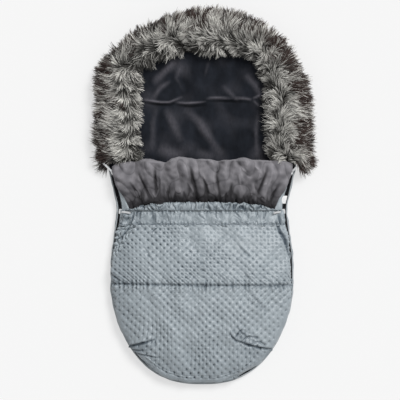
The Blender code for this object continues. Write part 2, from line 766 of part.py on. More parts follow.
def bridge_guide(name, turn):
    """The wire bridge over a slider, as a solid to be joined to it."""
    bm = bmesh.new()
    low = SLIDER_HALF_HEIGHT - SLIDER_PLATE / 2
    corner = BRIDGE_WIRE
    route = (
        (-BRIDGE_SPAN, low),
        (-BRIDGE_SPAN, BRIDGE_HEIGHT - corner),
        (-BRIDGE_SPAN + corner, BRIDGE_HEIGHT),
        (BRIDGE_SPAN - corner, BRIDGE_HEIGHT),
        (BRIDGE_SPAN, BRIDGE_HEIGHT - corner),
        (BRIDGE_SPAN, low),
    )
    leans = (0, math.pi / 8, 3 * math.pi / 8, 5 * math.pi / 8, 7 * math.pi / 8, math.pi)
    axis = Vector((math.sin(turn), math.cos(turn), 0))
    across = Vector((math.cos(turn), -math.sin(turn), 0))
    runs = []
    for (along, z), lean in zip(route, leans):
        centre = axis * along + Vector((0, 0, z))
        outward = axis * -math.cos(lean) + Vector((0, 0, math.sin(lean)))
        turns = [2 * math.pi * k / WIRE_SIDES for k in range(WIRE_SIDES)]
        ring = [centre + (across * math.cos(t) + outward * math.sin(t)) * BRIDGE_WIRE for t in turns]
        runs.append([bm.verts.new(p) for p in ring])
    for here, there in zip(runs, runs[1:]):
        for k in range(-1, WIRE_SIDES - 1):
            bm.faces.new((here[k], here[k + 1], there[k + 1], there[k]))
    bm.faces.new(runs[0])
    bm.faces.new(runs[-1])
    return as_guide(name, bm)


def as_guide(name, bm):
    """An object that only shapes another one."""
    obj = finish_mesh(name, bm, METAL)
    obj.hide_render = True
    obj.display_type = "WIRE"
    return obj


def combine(obj, guide, operation):
    guide.parent = obj
    change = obj.modifiers.new(guide.name, "BOOLEAN")
    change.operation = operation
    change.solver = "EXACT"
    change.object = guide


def build_slider(name, y, side, turn, parent):
    """A slider on the cover's coil; its origin is on the slide's line."""
    obj = finish_mesh(name, slider_mesh(side), METAL)
    combine(obj, bridge_guide(f"{name}_bridge", turn), "UNION")
    obj.location = slider_place(y, side)
    obj.rotation_euler = (0, 0, zip_slant(y, side))
    obj.parent = parent
    obj.matrix_parent_inverse = parent.matrix_world.inverted()
    return obj


def cylinder(radius, length, place, axis, sides=EYE_SIDES):
    """A bmesh cylinder along X, Y or Z."""
    bm = bmesh.new()
    bmesh.ops.create_cone(
        bm, cap_ends=True, segments=sides, radius1=radius, radius2=radius, depth=length
    )
    turn = Vector((0, 0, 1)).rotation_difference(axis).to_matrix()
    bmesh.ops.transform(bm, matrix=turn.to_4x4(), verts=bm.verts)
    bmesh.ops.translate(bm, vec=place, verts=bm.verts)
    return bm


def puller_mesh():
    """The tab along local X, rounded at its far end, its eye on the origin."""
    start = PULLER_EYE / 2
    radius = PULLER_WIDTH / 2
    end = PULLER_LENGTH - radius
    turns = [math.pi * (k / WIRE_SIDES - 0.5) for k in range(WIRE_SIDES + 1)]
    neck = radius * PULLER_NECK
    outline = [(start, neck), (start, -neck), (start + 2 * radius, -radius)]
    outline += [(end + radius * math.cos(t), radius * math.sin(t)) for t in turns]
    outline += [(start + 2 * radius, radius)]
    bm = bmesh.new()
    base = [bm.verts.new((x, y, -PULLER_THICKNESS / 2)) for x, y in outline]
    face = bm.faces.new(base)
    made = bmesh.ops.extrude_face_region(bm, geom=[face])
    top = [item for item in made["geom"] if isinstance(item, bmesh.types.BMVert)]
    bmesh.ops.translate(bm, vec=(0, 0, PULLER_THICKNESS), verts=top)
    return bm


def build_puller(name, place, heading, tilt, parent):
    """A puller hung on its slider's bridge: heading is its plan direction, tilt its rise."""
    along_y = Vector((0, 1, 0))
    obj = finish_mesh(name, puller_mesh(), METAL)
    eye = as_guide(f"{name}_eye", cylinder(PULLER_EYE, EYE_LENGTH, (0, 0, 0), along_y))
    bore_radius = BRIDGE_WIRE + EYE_PLAY
    bore = as_guide(f"{name}_bore", cylinder(bore_radius, 2 * EYE_LENGTH, (0, 0, 0), along_y))
    hole_place = (PULLER_LENGTH - PULLER_WIDTH / 2, 0, 0)
    hole = as_guide(f"{name}_hole", cylinder(PULLER_HOLE, PULLER_WIDTH, hole_place, Vector((0, 0, 1))))
    combine(obj, eye, "UNION")
    combine(obj, bore, "DIFFERENCE")
    combine(obj, hole, "DIFFERENCE")
    obj.location = place
    obj.rotation_euler = (0, -tilt, heading)
    obj.parent = parent
    obj.matrix_parent_inverse = parent.matrix_world.inverted()
    return obj


def build_sliders(body, collar):
    """Four sliders: two at the waist with pullers lying inward, two at the zip's top ends."""
    for word, side in SIDES:
        inward = math.pi if side == RIGHT else 0.0
        outward = math.pi / 2 - side * UPPER_SWIVEL
        for level, y, heading, tilt, carrier in (
            ("lower", LOWER_SLIDER_Y, inward + zip_slant(LOWER_SLIDER_Y, side), LOWER_TILT, body),
            ("upper", UPPER_SLIDER_Y, outward, UPPER_TILT, collar),
        ):
            turn = math.pi - heading + zip_slant(y, side)
            slider = build_slider(f"slider_{level}_{word}", y, side, turn, carrier)
            bpy.context.view_layer.update()
            place = slider_place(y, side) + Vector((0, 0, BRIDGE_HEIGHT))
            build_puller(f"puller_{level}_{word}", place, heading, tilt, slider)


def main():
    clear_scene()
    hood = pivot("hood_pivot", HOOD_AXIS)
    foot = pivot("foot_cover_pivot", FOOT_AXIS)
    body = pivot("body_cover_pivot", BODY_AXIS, foot)
    collar = pivot("collar_pivot", COLLAR_AXIS, body)
    build_back()
    build_hood(hood)
    build_fur(hood)
    build_foot_cover(foot)
    build_body_cover(body)
    build_collar(collar)
    build_sliders(body, collar)


main()
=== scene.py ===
"""Looks of the winter footmuff: quilted satin, velour, zips and a long-haired fur trim.

Metres, +Z up, head end toward +Y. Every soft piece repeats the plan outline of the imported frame.
"""

import functools
import math

import bpy
import numpy as np
from bpy.props import FloatProperty, FloatVectorProperty, IntProperty, PointerProperty
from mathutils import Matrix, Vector


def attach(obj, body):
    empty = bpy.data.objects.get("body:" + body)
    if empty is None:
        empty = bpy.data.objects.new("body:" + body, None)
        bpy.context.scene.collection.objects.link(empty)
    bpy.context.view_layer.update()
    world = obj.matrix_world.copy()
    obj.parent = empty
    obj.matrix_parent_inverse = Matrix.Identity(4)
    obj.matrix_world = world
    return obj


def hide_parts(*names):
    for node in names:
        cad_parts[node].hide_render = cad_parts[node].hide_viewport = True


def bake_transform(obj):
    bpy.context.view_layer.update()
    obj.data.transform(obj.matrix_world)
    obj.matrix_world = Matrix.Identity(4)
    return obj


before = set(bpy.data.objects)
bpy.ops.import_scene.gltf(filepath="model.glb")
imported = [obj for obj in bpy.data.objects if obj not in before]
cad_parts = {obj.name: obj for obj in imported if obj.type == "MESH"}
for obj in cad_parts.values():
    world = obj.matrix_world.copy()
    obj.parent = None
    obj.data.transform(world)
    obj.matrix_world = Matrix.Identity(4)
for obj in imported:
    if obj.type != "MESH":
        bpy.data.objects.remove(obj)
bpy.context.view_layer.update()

bl_info = {
    "name": "Winter footmuff",
    "version": (1, 0, 0),
    "blender": (4, 5, 0),
    "location": "3D View > Sidebar > Footmuff",
    "description": "Makes the soft pieces and finishes of a padded winter footmuff",
    "category": "Object",
}

# Plan outline of the padded back
BODY_HALF = 0.243
WAIST_HALF = 0.225
HOOD_HALF = 0.255
FOOT_END_Y = -0.501
QUILT_SEAM_Y = -0.235
BULGE_Y = -0.165
WAIST_Y = -0.033
SHOULDER_Y = 0.098
HOOD_SEAM_Y = 0.258
HOOD_TOP_Y = 0.470
FOOT_SIDE_POWER = 2.5
FOOT_END_POWER = 1.75
HOOD_POWER = 2.1
CORNER_EASE = 0.018

# Cover: heights of the outer cloth over its rim, its rows of seams, and how far it bulges at the band
RIM_Z = 0.02075
RIM_INSET = 0.0148
CROWN_HEIGHT = 0.0640
WAIST_HEIGHT = 0.0360
MOUTH_HEIGHT = 0.0460
DOME_POWER = 0.55
BAND_START_Y = -0.077
BAND_END_Y = -0.0378
COLLAR_SEAM_Y = -0.017
MOUTH_Y = 0.096
MOUTH_DROP = 0.022
BAND_SWELL = 0.0085

# Depths below the outer cloth: the padding's far side and the lining's; then one cloth and a gap of air
PAD_DEPTH = 0.0105
LINING_DEPTH = 0.0120
CLOTH = 0.0012
LAYER_GAP = 0.0004

# Fur trim
FUR_OUTER_HALF = 0.289
FUR_OUTER_TOP_Y = 0.501
FUR_FLARE = 0.008
FUR_OUTER_POWER = 2.05
FUR_INNER_HALF = 0.167
FUR_INNER_TOP_Y = 0.375
FUR_INNER_POWER = 4
FUR_END_Y = 0.089
FUR_PARTING = 0.72
UNDERCOAT_HEIGHT = 0.025
HAIR_BEND = 0.22

# The photograph's frame, for features that are placed by its pixels
FRAME_PIXELS = 400
PIXEL = 0.00266
MIDDLE_COLUMN = 202
MIDDLE_ROW = 196

# Spacing of a path's points, and where rows stop just short of the pole at an outline's end
PATH_STEP = 0.0025
ROW_INSET = 0.0025
LAST_TURN = 0.9985 * math.pi / 2

SIDES = (("right", 1), ("left", -1))


def place(column, row):
    """Plan position of a pixel of the 400 by 400 photograph."""
    return (column - MIDDLE_COLUMN) * PIXEL, (MIDDLE_ROW - row) * PIXEL


def route(*pixels):
    """A line over the plan through pixels of the photograph."""
    return np.array([place(*pixel) for pixel in pixels])


def routes(*rows):
    """Rows of a half-width, a depth and pixels, each made into a route, its half-width and its depth."""
    return tuple((route(*pixels), width, depth) for width, depth, *pixels in rows)


def mix(start, end, share):
    return start + (end - start) * share


def ease(share):
    share = np.clip(share, 0.0, 1.0)
    return share * share * (3 - 2 * share)


def bump(distance, width):
    """One at the middle, falling to nothing over about twice the width."""
    return np.exp(-((distance / width) ** 2))


class Waves:
    """Smooth random relief: a fixed set of plane waves of about one length."""

    def __init__(self, seed, length, count=24, spread=0.35, stretch=(1.0, 1.0)):
        chance = np.random.default_rng(seed)
        angles = chance.uniform(0, 2 * math.pi, count)
        sizes = 2 * math.pi / (length * chance.uniform(1 - spread, 1 + spread, count))
        self.kx = np.cos(angles) * sizes / stretch[0]
        self.ky = np.sin(angles) * sizes / stretch[1]
        self.phase = chance.uniform(0, 2 * math.pi, count)
        self.scale = math.sqrt(2 / count)

    def __call__(self, x, y):
        total = np.zeros(np.shape(x))
        for kx, ky, phase in zip(self.kx, self.ky, self.phase):
            total += np.sin(kx * x + ky * y + phase)
        return total * self.scale


def straight_half(y):
    """Half-width of the back's outline along its nearly straight sides, with plain corners."""
    lower = mix(WAIST_HALF, BODY_HALF, np.clip((WAIST_Y - y) / (WAIST_Y - BULGE_Y), 0, 1))
    upper = mix(WAIST_HALF, HOOD_HALF, np.clip((y - WAIST_Y) / (SHOULDER_Y - WAIST_Y), 0, 1))
    return np.where(y < WAIST_Y, lower, upper)


def half_width(y):
    """The same half-width with its corners rounded over."""
    steps = np.linspace(-1, 1, 7)
    return sum(straight_half(y + CORNER_EASE * step) for step in steps) / len(steps)


def foot_share(y, inset):
    """Falls from 1 at the quilt seam to 0 at the end of the foot."""
    length = QUILT_SEAM_Y - FOOT_END_Y - inset
    gone = np.clip((QUILT_SEAM_Y - y) / length, 0, 1)
    return 1 - gone**FOOT_END_POWER


def hood_share(y, inset):
    """Falls from 1 at the hood's seam to 0 at its top."""
    length = HOOD_TOP_Y - HOOD_SEAM_Y - inset
    gone = np.clip((y - HOOD_SEAM_Y) / length, 0, 1)
    return 1 - gone**HOOD_POWER


def foot_curve(turns, inset):
    """X and Y of the foot's outline, for turns from 0 at the quilt seam to a quarter turn at its end."""
    length = QUILT_SEAM_Y - FOOT_END_Y - inset
    x = (BODY_HALF - inset) * np.cos(turns) ** (2 / FOOT_SIDE_POWER)
    return x, QUILT_SEAM_Y - length * np.sin(turns) ** (2 / FOOT_END_POWER)


def hood_curve(turns, inset):
    """The same for the hood, from its seam to its top."""
    length = HOOD_TOP_Y - HOOD_SEAM_Y - inset
    x = (HOOD_HALF - inset) * np.cos(turns) ** (2 / HOOD_POWER)
    return x, HOOD_SEAM_Y + length * np.sin(turns) ** (2 / HOOD_POWER)


def plan_half(y, inset):
    """Half-width of the whole outline at an inset from its edge."""
    foot = (BODY_HALF - inset) * foot_share(y, inset) ** (1 / FOOT_SIDE_POWER)
    hood = (HOOD_HALF - inset) * hood_share(y, inset) ** (1 / HOOD_POWER)
    side = half_width(y) - inset
    return np.where(y < QUILT_SEAM_Y, foot, np.where(y > HOOD_SEAM_Y, hood, side))


def crown(y):
    """Height of the cover's middle line over its rim: lowest at the waist."""
    low = mix(WAIST_HEIGHT, CROWN_HEIGHT, ease((WAIST_Y - y) / (WAIST_Y - QUILT_SEAM_Y)))
    high = mix(WAIST_HEIGHT, MOUTH_HEIGHT, ease((y - COLLAR_SEAM_Y) / (MOUTH_Y - COLLAR_SEAM_Y)))
    return np.where(y < WAIST_Y, low, high)


def cover_surface(y, across, inset):
    """Points of the smooth cover at rows of Y and shares across, as an array of X, Y, Z."""
    half = plan_half(y, RIM_INSET + inset)
    arch = foot_share(y, RIM_INSET + inset) * (1 - np.abs(across) ** FOOT_SIDE_POWER)
    z = RIM_Z + (crown(y) - inset) * np.maximum(arch, 0) ** DOME_POWER
    return np.stack(np.broadcast_arrays(across * half, y, z), axis=-1)


def normals(grid):
    """Upward unit normals of a grid of points whose columns run along X and rows along Y."""
    along = np.gradient(grid, axis=0)
    across = np.gradient(grid, axis=1)
    normal = np.cross(across, along)
    normal /= np.maximum(np.linalg.norm(normal, axis=-1, keepdims=True), 1e-12)
    return normal * np.sign(normal[..., 2:3] + 1e-9)


def stroke(x, y, points, width, taper=1.0):
    """Nearness to a route, fading toward its ends by the taper."""
    runs = np.diff(points, axis=0)
    lengths = np.concatenate([[0], np.cumsum(np.linalg.norm(runs, axis=1))])
    best = np.full(np.shape(x), np.inf)
    along = np.zeros(np.shape(x))
    for passed, start, run in zip(lengths, points, runs):
        size = float(run @ run)
        share = np.clip(((x - start[0]) * run[0] + (y - start[1]) * run[1]) / size, 0, 1)
        distance = np.hypot(x - start[0] - share * run[0], y - start[1] - share * run[1])
        along = np.where(distance < best, (passed + share * math.sqrt(size)) / lengths[-1], along)
        best = np.minimum(best, distance)
    fade = 1 - taper * (1 - np.sin(np.pi * np.clip(along, 0, 1)) ** 0.7)
    return bump(best, width) * fade


def shades(x, y, spots, taper=1.0):
    """The sum of soft shades on the plan, each a route, a half-width and a depth of shade."""
    return sum(depth * stroke(x, y, points, width, taper) for points, width, depth in spots)


def foot_slopes(x, y):
    """How fast the foot's outline is left behind along X and along Y, and the share of the foot passed."""
    length = QUILT_SEAM_Y - FOOT_END_Y
    gone = np.maximum(QUILT_SEAM_Y - y, 0) / length
    slope_x = FOOT_SIDE_POWER * np.abs(x / BODY_HALF) ** (FOOT_SIDE_POWER - 1) / BODY_HALF
    slope_y = FOOT_END_POWER * gone ** (FOOT_END_POWER - 1) / length
    return slope_x, slope_y, gone


def linked(name, data):
    """A new object at the origin, in the scene."""
    obj = bpy.data.objects.new(name, data)
    bpy.context.scene.collection.objects.link(obj)
    return obj


def make_object(name, points, faces, material=None, attributes=None, edges=()):
    """A smooth-shaded mesh object, with number or vector attributes on its points."""
    mesh = bpy.data.meshes.new(name)
    mesh.from_pydata(points.reshape(-1, 3).tolist(), edges, faces)
    for label, values in (attributes or {}).items():
        values = np.asarray(values, np.float32)
        is_vector = values.size == 3 * len(mesh.vertices)
        layer = mesh.attributes.new(label, "FLOAT_VECTOR" if is_vector else "FLOAT", "POINT")
        layer.data.foreach_set("vector" if is_vector else "value", values.ravel())
    mesh.shade_smooth()
    if material:
        mesh.materials.append(material)
    mesh.update()
    return linked(name, mesh)


def grid_faces(rows, columns, start=0):
    """Quads of a grid whose normals point up for X columns and Y rows."""
    index = start + np.arange(rows * columns).reshape(rows, columns)
    quads = np.stack([index[:-1, :-1], index[:-1, 1:], index[1:, 1:], index[1:, :-1]], axis=-1)
    return quads.reshape(-1, 4).tolist()


def border_runs(rows, columns, keep_rows, keep_columns):
    """The grid's border as runs of point numbers, each run between two points that a coarse grid keeps."""
    index = np.arange(rows * columns).reshape(rows, columns)
    runs = []
    for line, keep in (
        (index[0], keep_columns),
        (index[:, -1], keep_rows),
        (index[-1, ::-1], [columns - 1 - k for k in reversed(keep_columns)]),
        (index[::-1, 0], [rows - 1 - k for k in reversed(keep_rows)]),
    ):
        runs += [line[a : b + 1].tolist() for a, b in zip(keep, keep[1:])]
    return runs


def kept(count, every):
    """Which of a row's points a grid that is coarser by a whole number keeps: both ends always."""
    return sorted(set(range(0, count - 1, every)) | {count - 1})


def shell(name, outer, inner, material, attributes=None, every=1):
    """A closed piece between an upper grid and a lower one; the lower keeps one point in so many."""
    rows, columns = outer.shape[:2]
    keep_rows, keep_columns = kept(rows, every), kept(columns, every)
    low = inner[np.ix_(keep_rows, keep_columns)]
    count = rows * columns
    number = {}
    for i, row in enumerate(keep_rows):
        for j, column in enumerate(keep_columns):
            number[row * columns + column] = count + i * len(keep_columns) + j
    faces = grid_faces(rows, columns)
    faces += [quad[::-1] for quad in grid_faces(len(keep_rows), len(keep_columns), count)]
    for run in border_runs(rows, columns, keep_rows, keep_columns):
        faces.append(run[::-1] + [number[run[0]], number[run[-1]]])
    both = {}
    for label, values in (attributes or {}).items():
        values = np.broadcast_to(values, (rows, columns))
        both[label] = np.concatenate([values.ravel(), values[np.ix_(keep_rows, keep_columns)].ravel()])
    points = np.concatenate([outer.reshape(-1, 3), low.reshape(-1, 3)])
    return make_object(name, points, faces, material, both)


def ring_faces(last, corners):
    """Quads between rings of points, from the first ring to the one that starts at the last number."""
    faces = []
    for here in range(0, last, corners):
        there = here + corners
        for c in range(corners):
            d = (c + 1) % corners
            faces.append([here + c, here + d, there + d, there + c])
    return faces


def tube(name, rings, material, attributes=None):
    """A tube through rings of points, closed at its ends: an array of ring, corner and X, Y, Z."""
    count, corners = rings.shape[:2]
    last = (count - 1) * corners
    faces = ring_faces(last, corners)
    faces.append(list(range(corners))[::-1])
    faces.append(list(range(last, last + corners)))
    return make_object(name, rings, faces, material, attributes)


def oval_tube(name, path, radius, material, sides, flat=1.0):
    """A tube along an open path of points; flat is its height over its width."""
    along = np.gradient(path, axis=0)
    along /= np.linalg.norm(along, axis=1, keepdims=True)
    across = np.cross(along, (0, 0, 1))
    across /= np.maximum(np.linalg.norm(across, axis=1, keepdims=True), 1e-9)
    up = np.cross(across, along)
    turns = 2 * math.pi * np.arange(sides) / sides
    radius = np.broadcast_to(radius, (len(path),))[:, None, None]
    rings = across[:, None] * np.cos(turns)[None, :, None] * radius
    rings = rings + up[:, None] * np.sin(turns)[None, :, None] * radius * flat
    return tube(name, path[:, None] + rings, material)


def outline_path(inset, start_y, z):
    """The back's outline at an inset, from a place on its right side round the foot to its left."""
    foot_x, foot_y = foot_curve(np.linspace(0, math.pi / 2, 260), inset)
    side_y = np.arange(start_y, QUILT_SEAM_Y, -PATH_STEP)
    side_x = half_width(side_y) - inset
    right = np.stack([np.concatenate([side_x, foot_x]), np.concatenate([side_y, foot_y])], axis=1)
    right[-1, 0] = 0
    whole = np.concatenate([right, right[-2::-1] * (-1, 1)])
    return evenly(np.column_stack([whole, np.full(len(whole), z)]), PATH_STEP)


def evenly(path, step):
    """The same path with its points an even step apart."""
    lengths = np.concatenate([[0], np.cumsum(np.linalg.norm(np.diff(path, axis=0), axis=1))])
    count = max(2, int(round(lengths[-1] / step)) + 1)
    at = np.linspace(0, lengths[-1], count)
    return np.stack([np.interp(at, lengths, path[:, k]) for k in range(3)], axis=1)


class Tree:
    """Short calls for building a node tree: values are set, sockets are linked."""

    def __init__(self, tree):
        self.tree = tree

    def add(self, kind, inputs=None, **settings):
        node = self.tree.nodes.new(kind)
        for key, value in settings.items():
            setattr(node, key, value)
        for key, value in (inputs or {}).items():
            self.put(node.inputs[key], value)
        return node

    def put(self, socket, value):
        if isinstance(value, bpy.types.NodeSocket):
            self.tree.links.new(value, socket)
        else:
            socket.default_value = value

    def out(self, kind, inputs=None, **settings):
        """The first output of a new node."""
        return self.add(kind, inputs, **settings).outputs[0]

    def math(self, operation, a, b=0.0):
        return self.out("ShaderNodeMath", {0: a, 1: b}, operation=operation)

    def total(self, *parts):
        return functools.reduce(lambda a, b: self.math("ADD", a, b), parts)

    def times(self, *factors):
        return functools.reduce(lambda a, b: self.math("MULTIPLY", a, b), factors)

    def about(self, chance, spread):
        """A number by chance from 0 to 1, turned into one to either side of nothing."""
        return self.times(self.math("SUBTRACT", chance, 0.5), spread)

    def vector(self, operation, a, b=(0, 0, 0)):
        return self.out("ShaderNodeVectorMath", {0: a, 1: b}, operation=operation)

    def combine(self, x, y, z):
        return self.out("ShaderNodeCombineXYZ", {0: x, 1: y, 2: z})

    def split(self, vector):
        return self.add("ShaderNodeSeparateXYZ", {0: vector}).outputs

    def ramp(self, value, low, high, to_low=0.0, to_high=1.0):
        """A straight ramp between two values, held past its ends."""
        inputs = {0: value, 1: low, 2: high, 3: to_low, 4: to_high}
        return self.out("ShaderNodeMapRange", inputs, clamp=True)

    def blend(self, share, a, b):
        """Mix two colours."""
        return self.add("ShaderNodeMix", {0: share, 6: a, 7: b}, data_type="RGBA").outputs[2]

    def named(self, label, kind="FLOAT"):
        return self.out("GeometryNodeInputNamedAttribute", {"Name": label}, data_type=kind)

    def keep(self, geometry, label, value, kind="FLOAT"):
        """The geometry with a value stored on its points."""
        inputs = {"Geometry": geometry, "Name": label, "Value": value}
        return self.out("GeometryNodeStoreNamedAttribute", inputs, data_type=kind, domain="POINT")

    def close(self, geometry, material):
        """End a geometry tree: smooth, with its material set."""
        smooth = self.out("GeometryNodeSetShadeSmooth", {0: geometry})
        painted = self.out("GeometryNodeSetMaterial", {0: smooth, "Material": material})
        self.add("NodeGroupOutput", {0: painted})


def colour(rgb, share=1.0):
    """A colour with its alpha, times one share or a share for each channel, and never past one."""
    return (*(min(1.0, float(c * s)) for c, s in zip(rgb, np.broadcast_to(share, 3))), 1.0)


class Finish(Tree):
    """A material with its shader, its object coordinates and a chain of bumps."""

    def __init__(self, name, roughness, metallic=0.0, specular=0.5):
        self.material = bpy.data.materials.new(name)
        self.material.use_nodes = True
        super().__init__(self.material.node_tree)
        self.shader = self.tree.nodes["Principled BSDF"]
        self.fix("Roughness", roughness)
        self.fix("Metallic", metallic)
        self.fix("Specular IOR Level", specular)
        self.at = self.add("ShaderNodeTexCoord").outputs["Object"]
        self.normal = None

    def fix(self, name, value):
        """Set a value that is the same all over on the shader itself."""
        self.shader.inputs[name].default_value = value

    def paint(self, tint):
        self.put(self.shader.inputs["Base Color"], tint)

    def attribute(self, name):
        return self.add("ShaderNodeAttribute", attribute_name=name).outputs["Fac"]

    def noise(self, scale, detail, rough=0.5, stretch=None):
        """Noise over the piece, longer along an axis whose stretch is below one."""
        at = self.vector("MULTIPLY", self.at, stretch) if stretch else self.at
        inputs = {"Vector": at, "Scale": scale, "Detail": detail, "Roughness": rough}
        return self.out("ShaderNodeTexNoise", inputs)

    def patches(self, scale, detail, a, b):
        """Two close colours in soft patches."""
        return self.blend(self.ramp(self.noise(scale, detail), 0.3, 0.7), a, b)

    def bump(self, height, strength, distance):
        inputs = {"Height": height, "Strength": strength, "Distance": distance}
        if self.normal:
            inputs["Normal"] = self.normal
        self.normal = self.out("ShaderNodeBump", inputs)
        self.put(self.shader.inputs["Normal"], self.normal)


# Painted shade: how much of a cloth's colour is left where its painted shade is deepest; satin turns bluer
# there
SATIN_IN_PAINTED_SHADE = (0.12, 0.165, 0.21)
VELOUR_IN_PAINTED_SHADE = 0.16


def satin_finish(name, base):
    """Fine woven satin: soft creases, a faint weave, and painted shade that darkens its colour and turns it
    bluer in hollows and creases.
    """
    finish = Finish(name, roughness=0.36, specular=0.55)
    light = finish.patches(28, 3, colour(base, 0.96), colour(base, 1.04))
    depth = finish.ramp(finish.attribute("hollow"), 0, 1, 0, 0.9)
    finish.paint(finish.blend(depth, light, colour(base, SATIN_IN_PAINTED_SHADE)))
    grain = {"Vector": finish.at, "Scale": 900.0}
    weave = finish.add("ShaderNodeTexWave", grain, wave_type="BANDS", bands_direction="DIAGONAL")
    finish.bump(weave.outputs["Fac"], 0.25, 0.0002)
    finish.bump(finish.noise(420, 2, stretch=(1.0, 0.6, 1.0)), 0.5, 0.0014)
    finish.bump(finish.noise(120, 3), 0.25, 0.0022)
    finish.fix("Sheen Weight", 0.1)
    finish.fix("Sheen Roughness", 0.4)
    return finish.material


def velour_finish(name, base, mottle, sheen, sheen_tint, brushing_and_highlight_tint):
    """Short velvety pile: dark along its lie, paler where it turns away, paler still where it is brushed
    and where highlights are painted on its ridges, and darker under painted shade.
    """
    finish = Finish(name, roughness=0.95, specular=0.1)
    lie = finish.ramp(finish.noise(30, 4, 0.6, stretch=(1.0, 0.55, 1.0)), 0.35, 0.68)
    pile = finish.blend(lie, colour(base, 1 - mottle), colour(base, 1 + mottle))
    speck = finish.ramp(finish.noise(1400, 1), 0.66, 0.78)
    pile = finish.blend(finish.math("MULTIPLY", speck, 0.25), pile, colour(base, 2.4))
    streaks = finish.ramp(finish.noise(260, 3, 0.6, stretch=(1.0, 0.4, 1.0)), 0.3, 0.7, 0.6, 1.0)
    # Brushed pile and painted highlights on ridges turn the pile toward a paler tint, in streaks
    brushing_and_highlight_share = finish.math("MULTIPLY", finish.attribute("brushing_and_highlight"), streaks)
    pile = finish.blend(brushing_and_highlight_share, pile, colour(brushing_and_highlight_tint))
    # Painted shade darkens the pile in its hollows
    depth = finish.ramp(finish.attribute("hollow"), 0, 1, 0, 0.94)
    finish.paint(finish.blend(depth, pile, colour(base, VELOUR_IN_PAINTED_SHADE)))
    finish.bump(finish.noise(1300, 2), 0.5, 0.0006)
    finish.bump(finish.noise(190, 3, stretch=(1.0, 0.5, 1.0)), 0.35, 0.0016)
    finish.fix("Sheen Weight", sheen)
    finish.fix("Sheen Roughness", 0.35)
    finish.fix("Sheen Tint", colour(sheen_tint))
    return finish.material


def plain_cloth(name, base, roughness=0.8, grain=900.0):
    """Close plain weave for the lining, tapes, piping, thread and tag."""
    finish = Finish(name, roughness=roughness, specular=0.25)
    finish.paint(finish.patches(60, 3, colour(base, 0.86), colour(base, 1.1)))
    checker = finish.add("ShaderNodeTexChecker", {"Vector": finish.at, "Scale": grain})
    finish.bump(checker.outputs["Fac"], 0.35, 0.0002)
    finish.bump(finish.noise(240, 2), 0.3, 0.0008)
    return finish.material


def metal_finish(name, base):
    """Die-cast zip metal with fine scratches and a worn, cloudy polish."""
    finish = Finish(name, roughness=0.28, metallic=1.0)
    finish.fix("Base Color", colour(base))
    cloud = finish.noise(160, 4)
    finish.put(finish.shader.inputs["Roughness"], finish.ramp(cloud, 0.3, 0.7, 0.22, 0.42))
    finish.bump(finish.noise(900, 2, stretch=(1.0, 0.15, 1.0)), 0.12, 0.0003)
    return finish.material


def coil_finish(name, base):
    """Moulded nylon of the zip's coil."""
    finish = Finish(name, roughness=0.35, specular=0.5)
    finish.paint(finish.patches(300, 2, colour(base), colour(base, 2)))
    return finish.material


def fur_finish(name):
    """Hair that runs from dark roots, their darkness partly painted shade deep in the pile, over silver
    grey to cream or brown tips.
    """
    finish = Finish(name, roughness=0.6, specular=0.2)
    along, tone, brown = (finish.attribute(label) for label in ("along", "tone", "brown"))
    # Near-black roots: partly the hair's own dark base, partly painted shade deep in the pile
    root = colour((0.016, 0.015, 0.013))
    grey = finish.blend(tone, colour((0.028, 0.027, 0.025)), colour((0.60, 0.59, 0.55)))
    tip = finish.blend(tone, colour((0.085, 0.082, 0.075)), colour((1.0, 0.985, 0.93)))
    hair = finish.blend(finish.ramp(along, 0.30, 0.74), root, grey)
    hair = finish.blend(finish.ramp(along, 0.66, 1.0), hair, tip)
    dark = finish.blend(tone, colour((0.007, 0.005, 0.005)), colour((0.046, 0.031, 0.027)))
    finish.paint(finish.blend(brown, hair, dark))
    return finish.material


# How much of the floor's plain colour the camera sees through its shading
FLOOR_PLAIN_SHARE = 0.64


def floor_finish(name, base):
    """Pale matt floor; part of what the camera sees of it is plain, so its shadow stays faint."""
    finish = Finish(name, roughness=0.9, specular=0.1)
    finish.paint(finish.blend(finish.noise(3, 2), colour(base, 0.995), colour(base)))
    plain = finish.add("ShaderNodeEmission", {"Color": colour(base), "Strength": 1.0})
    seen = finish.add("ShaderNodeLightPath").outputs["Is Camera Ray"]
    share = finish.math("MULTIPLY", seen, FLOOR_PLAIN_SHARE)
    both = finish.add("ShaderNodeMixShader", {0: share, 1: finish.shader.outputs[0], 2: plain.outputs[0]})
    output = finish.tree.nodes["Material Output"]
    finish.put(output.inputs["Surface"], both.outputs[0])
    return finish.material


# The materials made so far, by slot
MATERIALS = {}


